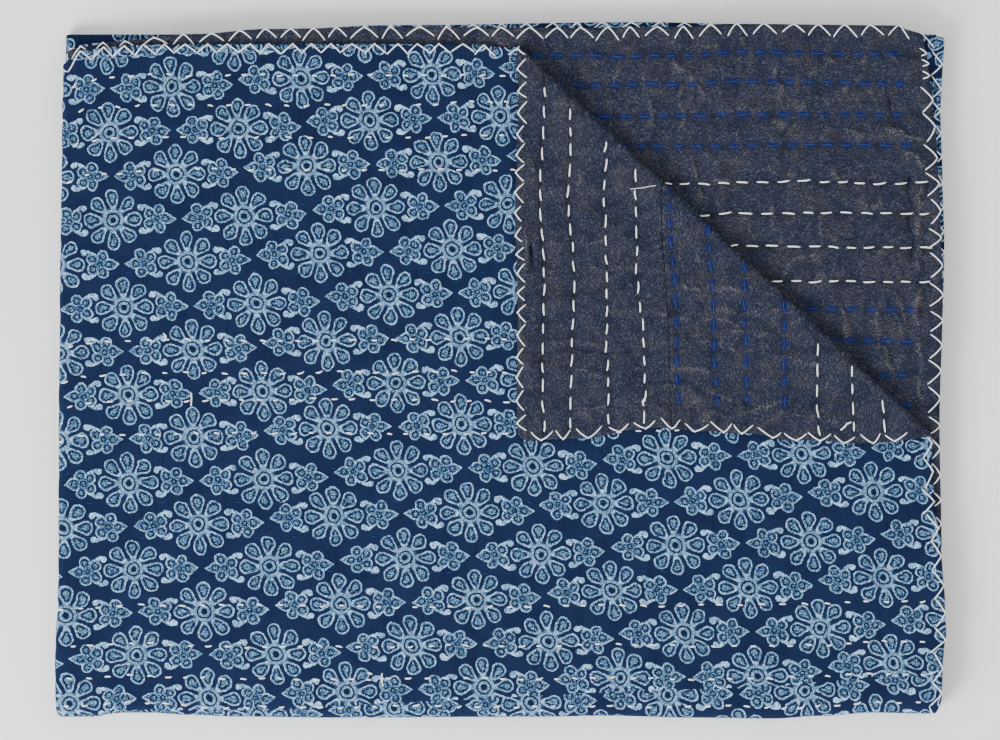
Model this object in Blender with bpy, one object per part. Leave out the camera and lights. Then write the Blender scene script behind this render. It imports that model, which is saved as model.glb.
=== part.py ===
"""A kantha quilt, folded to eight layers with one corner of the top layer turned back.

The quilt is two cloths, a printed front and a plain backing of two widths, sewn through
in rows. It is modelled flat, where u crosses the quilt and v runs along it, and then
folded: its ends are brought together, then its sides, then it is doubled once more, and
last the corner of the top layer is laid over. Metres, +Z up. +X runs along the folded
quilt's longer side, away from its side fold, and +Y from its thick roll to its open
ends. The underside lies on z = 0.
"""
import math

import bmesh
import bpy
from mathutils import Vector

# The two cloths and how closely they lie
CLOTH = 0.00105  # each cloth, with the thin layers that are sewn to it
PART_GAP = 0.0003  # between the two cloths, and between the backing's two widths
LAYER_PITCH = 0.0028  # from one layer of the folded quilt to the next
CHANNEL_DEPTH = 0.0003  # how far a sewn row draws a cloth's outer face in

# The straight runs between the folds
HALF_WIDTH = 0.6915  # u from a side edge to the side fold
RUN_TOP = 0.521  # v from the first end to the thick roll, in layers 1 and 4
RUN_UNDER = 0.527  # v from the roll to the end fold, in layers 5 to 8
RUN_SECOND = 0.534  # v from the inner roll to the second end, in layers 2 and 3
CORNER_RADII = ((0.009, 0.016), (0.004, 0.003))  # [second end][far side]
STRIP_WIDTH = 0.118  # v from the first end to the seam between the backing's widths

# The folds' radii, at the middle of the sheet on their outside
END_RADIUS = 0.5 * LAYER_PITCH
SIDE_RADIUS = 1.5 * LAYER_PITCH
ROLL_RADIUS = 3.5 * LAYER_PITCH
FLAP_RADIUS = 0.0017

# The flat cells of the mesh
BEND_FACETS = 6
ROLL_FACETS = 8
CELL = 0.070
CORNER_FACETS = 3
MERGE = 0.00002

# The turned corner: its crease, as seen, runs between these points of the flat quilt
CREASE_AT_END = Vector((0.3358, 0.0012))
CREASE_AT_SIDE = Vector((0.0079, 0.3093))

# The sewn rows, from each end of the quilt
ROW_FIRST = 0.0235
ROW_PITCH = 0.0262
SECOND_ROW_FIRST = 0.0225
SECOND_ROW_PITCH = 0.0255
ROW_MARGIN = 0.035  # rows of layer 2 are raised this far in under the crease

# How far the flat quilt's edges stand out from straight lines
NEAR_SIDE = (  # (v, out) at u = 0: the open side of layers 1, 8, 7 and 2
    (0.000, -0.0242), (0.055, -0.0237), (0.086, -0.0277), (0.104, -0.0284),
    (0.144, -0.0229), (0.173, -0.0194), (0.211, -0.0115), (0.268, -0.0055),
    (0.323, -0.0079), (0.364, -0.0063), (0.403, -0.0008), (0.447, 0.0024),
    (0.469, 0.0032), (0.484, 0.0008), (0.515, 0.0000), (0.540, -0.0050),
    (0.800, -0.0070), (1.080, -0.0040), (1.400, -0.0075), (1.620, -0.0050),
    (1.760, 0.0000), (1.860, -0.0016), (1.960, 0.0008), (2.030, -0.0010),
    (2.080, -0.0040), (2.110, -0.0070), (2.140, -0.0100), (2.175, -0.0145),
)
FAR_SIDE = (  # (v, out) at the other side: the open side of layers 4, 5, 6 and 3
    (0.000, -0.0090), (0.240, -0.0050), (0.520, -0.0060), (1.080, -0.0030),
    (1.600, -0.0060), (1.860, -0.0020), (2.010, 0.0024), (2.060, 0.0010),
    (2.120, -0.0008), (2.150, 0.0008), (2.175, 0.0028),
)
FIRST_END = (  # (u, out) at v = 0: the open end of layers 1 and 4
    (0.000, 0.0167), (0.157, 0.0088), (0.310, -0.0010), (0.330, -0.0025),
    (0.365, 0.0000), (0.500, 0.0000),
    (0.622, -0.0004), (0.655, -0.0020), (0.679, -0.0045), (0.697, -0.0150),
    (0.715, -0.0090), (0.760, -0.0050), (1.100, -0.0040), (1.393, -0.0080),
)
SECOND_END = (  # (u, out) at the other end: the open end of layers 2 and 3
    (0.000, -0.0048), (0.005, -0.0036), (0.012, -0.0018), (0.020, 0.0020),
    (0.158, 0.0032), (0.190, 0.0008), (0.300, 0.0000), (0.427, 0.0008), (0.530, -0.0008),
    (0.585, -0.0047), (0.671, -0.0120), (0.697, -0.0180), (0.722, -0.0130),
    (0.810, -0.0060), (0.960, 0.0024), (1.155, 0.0048), (1.250, 0.0032),
    (1.375, -0.0044), (1.396, -0.0072),
)
# How far the two outer folds stand out from straight lines, which fades in LINE_REACH
ROLL_LINE = (  # (x from the side fold, out)
    (0.000, -0.0004), (0.025, -0.0004), (0.050, -0.0036), (0.072, -0.0036),
    (0.100, -0.0020), (0.143, -0.0004), (0.214, 0.0004), (0.380, -0.0004),
    (0.430, -0.0012), (0.500, 0.0004), (0.562, 0.0012), (0.600, -0.0010),
    (0.640, -0.0036), (0.700, -0.0028),
)
SIDE_LINE = (  # (distance from the first end, out)
    (0.000, -0.0036), (0.080, -0.0022), (0.200, -0.0006), (0.320, 0.0004),
    (0.420, 0.0004), (0.490, 0.0032), (0.530, 0.0027),
)
LINE_REACH = 0.150
LOFT = (  # (x from the side fold, y from the roll, reach, share of the height added)
    (0.000, 0.000, 0.160, 0.070),
    (0.350, 0.000, 0.110, 0.045),
    (0.690, 0.020, 0.130, 0.060),
    (0.010, 0.460, 0.130, 0.050),
    (0.480, 0.270, 0.150, 0.030),
    (0.220, 0.190, 0.130, -0.030),
    (0.690, 0.390, 0.120, 0.045),
)

FRONT_COLOUR = (0.021, 0.050, 0.150, 1.0)
BACKING_COLOUR = (0.045, 0.052, 0.080, 1.0)

# Worked out from the sizes above
HALF_SHEET = CLOTH + PART_GAP / 2
END_ARC = math.pi * END_RADIUS
SIDE_ARC = math.pi * SIDE_RADIUS
ROLL_ARC = math.pi * ROLL_RADIUS
FLAP_ARC = math.pi * FLAP_RADIUS
END_FOLD = RUN_TOP + ROLL_ARC + RUN_UNDER
INNER_ROLL = END_FOLD + END_ARC + RUN_UNDER
QUILT_LENGTH = INNER_ROLL + ROLL_ARC + RUN_SECOND
QUILT_WIDTH = 2 * HALF_WIDTH + SIDE_ARC
CREASE_ALONG = (CREASE_AT_SIDE - CREASE_AT_END).normalized()
CREASE_OUTWARD = Vector((-abs(CREASE_ALONG.y), -abs(CREASE_ALONG.x)))


def read(table, place):
    """The value of a table's second column at a place in its first, eased between rows."""
    if place <= table[0][0]:
        return table[0][1]
    for (start, low), (end, high) in zip(table, table[1:]):
        if place <= end:
            share = (place - start) / (end - start)
            return low + (high - low) * (1 - math.cos(math.pi * share)) / 2
    return table[-1][1]


def steps(start, end, count):
    """Evenly spaced places from start to end, both included."""
    return [start + (end - start) * i / count for i in range(count + 1)]


def shaped(u, v):
    """A point of the flat quilt, once its four edges have their true, uneven lines."""
    across = u
    along = v
    if u < HALF_WIDTH:
        across -= read(NEAR_SIDE, v) * (1 - u / HALF_WIDTH)
    elif u > HALF_WIDTH + SIDE_ARC:
        across += read(FAR_SIDE, v) * (1 - (QUILT_WIDTH - u) / HALF_WIDTH)
    if v < RUN_TOP:
        along -= read(FIRST_END, u) * (1 - v / RUN_TOP)
    elif v > QUILT_LENGTH - RUN_SECOND:
        along += read(SECOND_END, u) * (1 - (QUILT_LENGTH - v) / RUN_SECOND)
    return across, along


def past_crease(u, v):
    """How far a point of the flat quilt lies past the start of the turned corner's bend."""
    seen = (Vector((u, v)) - CREASE_AT_END).dot(CREASE_OUTWARD)
    return seen + FLAP_RADIUS + HALF_SHEET


def turned_over(u, v, h):
    """Lay the corner over the crease, on top of the sheet."""
    past = past_crease(u, v)
    if past <= 0:
        return u, v, h
    turn = min(past, FLAP_ARC) / FLAP_RADIUS
    beyond = max(past - FLAP_ARC, 0)
    reach = (FLAP_RADIUS - h) * math.sin(turn) - beyond
    moved = Vector((u, v)) + CREASE_OUTWARD * (reach - past)
    return moved.x, moved.y, FLAP_RADIUS - (FLAP_RADIUS - h) * math.cos(turn)


def turned_under(place, h, start, radius):
    """Lay what lies past start under the sheet. Return its new place and height."""
    past = place - start
    if past <= 0:
        return place, h
    turn = min(past, math.pi * radius) / radius
    beyond = max(past - math.pi * radius, 0)
    return (
        start + (radius + h) * math.sin(turn) - beyond,
        (radius + h) * math.cos(turn) - radius,
    )


def loft(x, y):
    """How high the layers stand here, as a share of their plain height."""
    rise = 1
    for centre_x, centre_y, reach, share in LOFT:
        square = ((x - centre_x) ** 2 + (y - centre_y) ** 2) / reach**2
        rise += share * math.exp(-square)
    return rise


def folded(u, v, h):
    """A point of the flat quilt, h above its middle, where it lies in the folded one."""
    if u < HALF_WIDTH and v < RUN_TOP:
        u, v, h = turned_over(u, v, h)
    v, h = turned_under(v, h, END_FOLD, END_RADIUS)
    u, h = turned_under(u, h, HALF_WIDTH, SIDE_RADIUS)
    v, h = turned_under(v, h, RUN_TOP, ROLL_RADIUS)
    from_side = HALF_WIDTH + SIDE_RADIUS - u
    from_roll = RUN_TOP + ROLL_RADIUS - v
    x = from_side - read(SIDE_LINE, v) * max(1 - abs(from_side) / LINE_REACH, 0)
    y = from_roll - read(ROLL_LINE, from_side) * max(1 - abs(from_roll) / LINE_REACH, 0)
    z = h + 2 * ROLL_RADIUS + HALF_SHEET
    return Vector((x, y, z * loft(x, y)))


def crosswise_lines():
    """The u of every line of the flat mesh: its cells, and the facets of the side fold."""
    cells = round(HALF_WIDTH / CELL)
    near = [0, 0.012, 0.020, *steps(0, HALF_WIDTH, cells)[1:]]
    bend = steps(HALF_WIDTH, HALF_WIDTH + SIDE_ARC, BEND_FACETS)
    far = steps(HALF_WIDTH + SIDE_ARC, QUILT_WIDTH, cells)
    return near[1:] + bend[1:] + far[1:-1]


def lengthwise_lines():
    """The v of every line of the flat mesh: its cells, and the facets of three folds."""
    lines = []
    place = 0
    for run, arc, facets in (
        (RUN_TOP, ROLL_ARC, ROLL_FACETS),
        (RUN_UNDER, END_ARC, BEND_FACETS),
        (RUN_UNDER, ROLL_ARC, ROLL_FACETS),
        (RUN_SECOND, 0, 0),
    ):
        lines += steps(place, place + run, round(run / CELL))[1:]
        place += run
        if facets:
            lines += steps(place, place + arc, facets)[1:]
            place += arc
    return lines[:-1]


def row_lines(first, pitch, last):
    """The v of the sewn rows, and of the crests between them, up to last."""
    count = int((last - first) / pitch * 2)
    return [first + pitch * half / 2 for half in range(-1, count + 1)]


def cut(bm, faces, point, normal):
    """Cut some of the mesh's faces along the plane through a point."""
    pieces = dict.fromkeys(faces)
    for face in faces:
        pieces.update(dict.fromkeys(face.edges))
        pieces.update(dict.fromkeys(face.verts))
    bmesh.ops.bisect_plane(
        bm, geom=list(pieces), dist=MERGE, plane_co=point, plane_no=normal
    )


def flat_sheet(first, last):
    """A flat sheet between two v, cut into its cells, with the quilt's round corners."""
    bm = bmesh.new()
    bmesh.ops.create_grid(bm, x_segments=1, y_segments=1, size=0.5)
    for vert in bm.verts:
        vert.co.x = (vert.co.x + 0.5) * QUILT_WIDTH
        vert.co.y = first + (vert.co.y + 0.5) * (last - first)
    for vert in [vert for vert in bm.verts if vert.co.y in (0, QUILT_LENGTH)]:
        bmesh.ops.bevel(
            bm, geom=[vert], offset=CORNER_RADII[vert.co.y > 0][vert.co.x > 0],
            offset_type="OFFSET", segments=CORNER_FACETS, profile=0.5, affect="VERTICES",
        )
    for u in crosswise_lines():
        cut(bm, bm.faces[:], (u, 0, 0), (1, 0, 0))
    for v in lengthwise_lines():
        if first < v < last:
            cut(bm, bm.faces[:], (0, v, 0), (0, 1, 0))
    return bm


def thicken(bm, inner, outer):
    """Make the sheet a closed slab, from the height inner to the height outer."""
    raised = bmesh.ops.extrude_face_region(bm, geom=bm.faces[:])
    for vert in bm.verts:
        vert.co.z = inner
    for item in raised["geom"]:
        if isinstance(item, bmesh.types.BMVert):
            item.co.z = outer
    bmesh.ops.recalc_face_normals(bm, faces=bm.faces[:])


def on_turned_corner(u, v):
    """Whether a point of the flat quilt lies past the turned corner's bend."""
    return u < HALF_WIDTH and v < RUN_TOP and past_crease(u, v) > FLAP_ARC


def shows_print(u, v):
    """Whether a point's printed side is seen from above: layer 1, but for its corner."""
    return u < HALF_WIDTH and v < RUN_TOP and past_crease(u, v) < 0


def shows_backing(u, v):
    """Whether a point's reverse is seen from above: the turned corner, or layer 2."""
    if on_turned_corner(u, v):
        return True
    if u > HALF_WIDTH or v < QUILT_LENGTH - RUN_SECOND:
        return False
    beneath = RUN_TOP - RUN_SECOND + QUILT_LENGTH - v
    return past_crease(u, beneath) > -ROW_MARGIN


def cut_rows(bm, outer, shows):
    """Cut the slab's outer face along its sewn rows and their crests, where it shows."""
    first_rows = row_lines(ROW_FIRST, ROW_PITCH, RUN_TOP)
    second_rows = row_lines(SECOND_ROW_FIRST, SECOND_ROW_PITCH, RUN_SECOND)
    for v in first_rows + [QUILT_LENGTH - row for row in second_rows]:
        faces = [
            face for face in bm.faces
            if all(abs(vert.co.z - outer) < MERGE for vert in face.verts)
            and shows(*face.calc_center_median().xy)
        ]
        cut(bm, faces, (0, v, 0), (0, 1, 0))


def channel(u, v, shows):
    """How far the sewn rows draw the outer face in at a point of the flat quilt."""
    if not shows(u, v):
        return 0
    if v < RUN_TOP:
        place = (v - ROW_FIRST) / ROW_PITCH
    else:
        place = (QUILT_LENGTH - v - SECOND_ROW_FIRST) / SECOND_ROW_PITCH
    return CHANNEL_DEPTH * (1 + math.cos(2 * math.pi * place)) / 2


def merge_underside(bm, outer):
    """Make the face that rests, on the outside of layer 8, one flat face."""
    resting = [
        face for face in bm.faces
        if all(abs(vert.co.z - outer) < MERGE for vert in face.verts)
        and face.calc_center_median().x < HALF_WIDTH
        and RUN_TOP + ROLL_ARC < face.calc_center_median().y < END_FOLD
    ]
    bmesh.ops.dissolve_faces(bm, faces=resting)


def cloth(name, first, last, inner, outer, shows, material):
    """One cloth of the quilt, between two v and two heights, folded with the others."""
    bm = flat_sheet(first, last)
    thicken(bm, inner, outer)
    if outer > inner:
        merge_underside(bm, outer)
    for vert in bm.verts:
        vert.co.x, vert.co.y = shaped(vert.co.x, vert.co.y)
    start = CREASE_AT_END - CREASE_OUTWARD * (FLAP_RADIUS + HALF_SHEET)
    for distance in steps(0, FLAP_ARC, BEND_FACETS):
        point = start + CREASE_OUTWARD * distance
        faces = [
            face for face in bm.faces
            if face.calc_center_median().x < HALF_WIDTH
            and face.calc_center_median().y < RUN_TOP
        ]
        cut(bm, faces, (*point, 0), (*CREASE_OUTWARD, 0))
    cut_rows(bm, outer, shows)
    bmesh.ops.triangulate(bm, faces=bm.faces[:])
    inward = math.copysign(1, inner - outer)
    for vert in bm.verts:
        u, v, height = vert.co
        if abs(height - outer) < MERGE:
            height += inward * channel(u, v, shows)
        vert.co = folded(u, v, height)
    mesh = bpy.data.meshes.new(name)
    bm.to_mesh(mesh)
    bm.free()
    mesh.materials.append(material)
    return bpy.data.objects.new(name, mesh)


def plain_material(name, colour, roughness):
    """A cloth's colour, without its print."""
    material = bpy.data.materials.new(name)
    material.use_nodes = True
    surface = material.node_tree.nodes["Principled BSDF"]
    surface.inputs["Base Color"].default_value = colour
    surface.inputs["Roughness"].default_value = roughness
    surface.inputs["Metallic"].default_value = 0.0
    return material


def centre(pieces):
    """Put the middle of the folded quilt's box over the origin."""
    corners = [vert.co for piece in pieces for vert in piece.data.vertices]
    shift_x = (min(c.x for c in corners) + max(c.x for c in corners)) / 2
    shift_y = (min(c.y for c in corners) + max(c.y for c in corners)) / 2
    for piece in pieces:
        for vert in piece.data.vertices:
            vert.co.x -= shift_x
            vert.co.y -= shift_y


def build_quilt():
    """The printed front and the two widths of the backing."""
    collection = bpy.data.collections.new("kantha_quilt")
    bpy.context.scene.collection.children.link(collection)
    front_material = plain_material("printed_cotton", FRONT_COLOUR, 0.9)
    backing_material = plain_material("backing_cotton", BACKING_COLOUR, 0.95)
    half_gap = PART_GAP / 2
    pieces = [
        cloth(
            "front_cloth", 0, QUILT_LENGTH, half_gap, HALF_SHEET,
            shows_print, front_material,
        ),
        cloth(
            "backing_strip", 0, STRIP_WIDTH - half_gap, -half_gap, -HALF_SHEET,
            shows_backing, backing_material,
        ),
        cloth(
            "backing_cloth", STRIP_WIDTH + half_gap, QUILT_LENGTH, -half_gap, -HALF_SHEET,
            shows_backing, backing_material,
        ),
    ]
    centre(pieces)
    for piece in pieces:
        collection.objects.link(piece)


for leftover in list(bpy.data.objects):
    bpy.data.objects.remove(leftover)
build_quilt()
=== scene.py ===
"""Dress a folded kantha quilt: its printed front, its backing, its sewing and a stage.

The quilt lies folded to eight layers, with the corner of the top layer turned back. Each
piece is modelled flat, where u crosses the quilt and v runs along it, and is then folded
as the solids are, so that it stands on them. Sizes are metres. The cloths are fine grids
whose outer faces are raised between the sewn rows. The thread is short tubes that follow
those faces. Print, weave and wear are materials on a map that holds the flat cloth's own
u and v.
"""
import bisect
import math
import random

import bmesh
import bpy
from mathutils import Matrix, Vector, noise


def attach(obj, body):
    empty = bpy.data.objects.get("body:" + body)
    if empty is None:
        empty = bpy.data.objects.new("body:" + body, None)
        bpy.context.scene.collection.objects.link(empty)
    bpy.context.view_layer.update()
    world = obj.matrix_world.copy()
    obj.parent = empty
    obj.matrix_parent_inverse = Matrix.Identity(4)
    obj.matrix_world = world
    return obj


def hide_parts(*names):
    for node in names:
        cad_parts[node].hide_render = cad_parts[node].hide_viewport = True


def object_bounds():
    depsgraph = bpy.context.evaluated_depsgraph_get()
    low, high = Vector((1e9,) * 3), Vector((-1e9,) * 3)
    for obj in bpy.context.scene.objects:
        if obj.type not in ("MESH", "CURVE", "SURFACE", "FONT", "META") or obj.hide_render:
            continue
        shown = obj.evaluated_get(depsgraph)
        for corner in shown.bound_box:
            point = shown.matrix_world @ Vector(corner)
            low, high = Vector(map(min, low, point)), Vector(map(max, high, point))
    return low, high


bl_info = {
    "name": "Folded Kantha Quilt",
    "version": (1, 0, 0),
    "blender": (4, 5, 0),
    "location": "View3D > Sidebar > Quilt",
    "description": "Builds the cloths, the sewing and the stage of a folded kantha quilt",
    "category": "Add Mesh",
}

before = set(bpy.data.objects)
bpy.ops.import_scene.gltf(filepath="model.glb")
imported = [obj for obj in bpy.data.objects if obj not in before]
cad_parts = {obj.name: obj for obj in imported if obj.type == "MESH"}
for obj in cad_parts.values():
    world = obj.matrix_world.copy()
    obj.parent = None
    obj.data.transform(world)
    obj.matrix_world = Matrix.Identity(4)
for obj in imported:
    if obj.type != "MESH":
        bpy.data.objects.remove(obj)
CAD_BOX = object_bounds()
BODY = "root"

# The two cloths and how closely they lie, as in the solids
CLOTH = 0.00105
PART_GAP = 0.0003
LAYER_PITCH = 0.0028
HALF_GAP = PART_GAP / 2
HALF_SHEET = CLOTH + HALF_GAP

# The straight runs between the folds, as in the solids
HALF_WIDTH = 0.6915  # u from a side edge to the side fold
RUN_TOP = 0.521  # v from the first end to the thick roll
RUN_UNDER = 0.527  # v from the roll to the end fold
RUN_SECOND = 0.534  # v from the inner roll to the second end
CORNER_RADII = ((0.009, 0.016), (0.004, 0.003))  # [second end][far side]
STRIP_WIDTH = 0.118  # v from the first end to the seam between the backing's widths

# The folds' radii, at the middle of the sheet on their outside
END_RADIUS = 0.5 * LAYER_PITCH
SIDE_RADIUS = 1.5 * LAYER_PITCH
ROLL_RADIUS = 3.5 * LAYER_PITCH
FLAP_RADIUS = 0.0017
CREASE_SPRING = 0.0038  # how much higher the turned corner stands along its crease
SPRING_REACH = 0.020  # and how far from the crease that is felt
END_ARC = math.pi * END_RADIUS
SIDE_ARC = math.pi * SIDE_RADIUS
ROLL_ARC = math.pi * ROLL_RADIUS
FLAP_ARC = math.pi * FLAP_RADIUS
END_FOLD = RUN_TOP + ROLL_ARC + RUN_UNDER
INNER_ROLL = END_FOLD + END_ARC + RUN_UNDER
QUILT_LENGTH = INNER_ROLL + ROLL_ARC + RUN_SECOND
QUILT_WIDTH = 2 * HALF_WIDTH + SIDE_ARC

# The turned corner's crease, as seen, between these points of the flat quilt
CREASE_AT_END = Vector((0.3358, 0.0012))
CREASE_AT_SIDE = Vector((0.0079, 0.3093))
CREASE_ALONG = (CREASE_AT_SIDE - CREASE_AT_END).normalized()
CREASE_OUTWARD = Vector((-abs(CREASE_ALONG.y), -abs(CREASE_ALONG.x)))

# How far the flat quilt's edges stand out from straight lines, as in the solids
NEAR_SIDE = (  # (v, out) at u = 0: the open side of layers 1, 8, 7 and 2
    (0.000, -0.0242), (0.055, -0.0237), (0.086, -0.0277), (0.104, -0.0284),
    (0.144, -0.0229), (0.173, -0.0194), (0.211, -0.0115), (0.268, -0.0055),
    (0.323, -0.0079), (0.364, -0.0063), (0.403, -0.0008), (0.447, 0.0024),
    (0.469, 0.0032), (0.484, 0.0008), (0.515, 0.0000), (0.540, -0.0050),
    (0.800, -0.0070), (1.080, -0.0040), (1.400, -0.0075), (1.620, -0.0050),
    (1.760, 0.0000), (1.860, -0.0016), (1.960, 0.0008), (2.030, -0.0010),
    (2.080, -0.0040), (2.110, -0.0070), (2.140, -0.0100), (2.175, -0.0145),
)
FAR_SIDE = (  # (v, out) at the other side: the open side of layers 4, 5, 6 and 3
    (0.000, -0.0090), (0.240, -0.0050), (0.520, -0.0060), (1.080, -0.0030),
    (1.600, -0.0060), (1.860, -0.0020), (2.010, 0.0024), (2.060, 0.0010),
    (2.120, -0.0008), (2.150, 0.0008), (2.175, 0.0028),
)
FIRST_END = (  # (u, out) at v = 0: the open end of layers 1 and 4
    (0.000, 0.0167), (0.157, 0.0088), (0.310, -0.0010), (0.330, -0.0025),
    (0.365, 0.0000), (0.500, 0.0000),
    (0.622, -0.0004), (0.655, -0.0020), (0.679, -0.0045), (0.697, -0.0150),
    (0.715, -0.0090), (0.760, -0.0050), (1.100, -0.0040), (1.393, -0.0080),
)
SECOND_END = (  # (u, out) at the other end: the open end of layers 2 and 3
    (0.000, -0.0048), (0.005, -0.0036), (0.012, -0.0018), (0.020, 0.0020),
    (0.158, 0.0032), (0.190, 0.0008), (0.300, 0.0000), (0.427, 0.0008), (0.530, -0.0008),
    (0.585, -0.0047), (0.671, -0.0120), (0.697, -0.0180), (0.722, -0.0130),
    (0.810, -0.0060), (0.960, 0.0024), (1.155, 0.0048), (1.250, 0.0032),
    (1.375, -0.0044), (1.396, -0.0072),
)
ROLL_LINE = (  # (x from the side fold, out)
    (0.000, -0.0004), (0.025, -0.0004), (0.050, -0.0036), (0.072, -0.0036),
    (0.100, -0.0020), (0.143, -0.0004), (0.214, 0.0004), (0.380, -0.0004),
    (0.430, -0.0012), (0.500, 0.0004), (0.562, 0.0012), (0.600, -0.0010),
    (0.640, -0.0036), (0.700, -0.0028),
)
SIDE_LINE = (  # (distance from the first end, out)
    (0.000, -0.0036), (0.080, -0.0022), (0.200, -0.0006), (0.320, 0.0004),
    (0.420, 0.0004), (0.490, 0.0032), (0.530, 0.0027),
)
LINE_REACH = 0.150  # how far in those two lines are felt
CORNER_REACH = 0.020  # u to which the second end's first corner bends it
CORNER_FADE = 0.050  # and how far from that end it still bends the rows
LOFT = (  # (x from the side fold, y from the roll, reach, share of the height added)
    (0.000, 0.000, 0.160, 0.070),
    (0.350, 0.000, 0.110, 0.045),
    (0.690, 0.020, 0.130, 0.060),
    (0.010, 0.460, 0.130, 0.050),
    (0.480, 0.270, 0.150, 0.030),
    (0.220, 0.190, 0.130, -0.030),
    (0.690, 0.390, 0.120, 0.045),
)

# The sewn rows: v of the first ones, then the distance of the last ones from their end
FIRST_ROWS = (
    0.0243, 0.0480, 0.0733, 0.0994, 0.1263, 0.1531, 0.1800, 0.2068, 0.2337, 0.2590,
    0.2811, 0.3072, 0.3345, 0.3618, 0.3892, 0.4165, 0.4438, 0.4754, 0.5007, 0.5228,
)
SECOND_ROWS = (
    0.0224, 0.0453, 0.0705, 0.0950, 0.1243, 0.1488, 0.1748, 0.2017, 0.2238, 0.2483,
    0.2759, 0.2990,
)
ROW_PITCH = 0.0262  # of the rows between those
ROWS_OF_A_COLOUR = 4
ROW_LEAN = (  # (v, how much further along a row lies on the turned corner)
    (0.0000, 0.0000), (0.0243, -0.0040), (0.0480, -0.0055), (0.0733, -0.0047),
    (0.0994, -0.0032), (0.1180, -0.0020), (0.1263, -0.0043), (0.1531, -0.0024),
    (0.1800, -0.0043), (0.2068, -0.0015), (0.2337, -0.0040), (0.2590, -0.0024),
    (0.2811, -0.0008), (0.3072, 0.0000),
)
LEAN_START = 0.22  # u to which the rows lean fully
LEAN_END = 0.42  # and from which they don't
ROW_WANDER = 0.0015  # how far any row strays from its line
END_FADE = 0.025  # v from an end over which it strays less
SEAM_FADE = 0.012  # the same from the backing's seam
SEAM_REACH = 0.001  # v from the seam within which a row doesn't stray at all
ROW_SWAY = (  # (v of a row, how much further along it lies at each u)
    (0.0480, ((0.000, -0.0030), (0.060, 0.0000), (0.130, 0.0012), (0.230, -0.0008),
              (0.290, -0.0060))),
    (0.0733, ((0.000, 0.0016), (0.160, 0.0000), (0.235, 0.0016), (0.280, -0.0040))),
    (0.0994, ((0.000, 0.0016), (0.040, 0.0030), (0.060, 0.0036), (0.085, 0.0020),
              (0.109, -0.0020), (0.135, -0.0048), (0.190, -0.0030), (0.230, -0.0010))),
    (0.1263, ((0.000, 0.0030), (0.080, 0.0010), (0.160, -0.0024))),
    (0.1531, ((0.000, 0.0030), (0.100, 0.0010), (0.150, -0.0020))),
)
SWAY_REACH = 0.022  # v from a row over which its sway fades
SHORT_OF_EDGE = (0.0125, 0.0070)  # u at which layer 2's rows begin, blue and white
PUFF_POWER = 0.8  # below 1, so that the cloth rises steeply beside a row

# A running stitch on the reverse, one on the print, and the gap from one to the next
BACK_STITCH = 0.0087
FRONT_STITCH = 0.0043
HOLE_GAP = 0.0009

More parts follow.
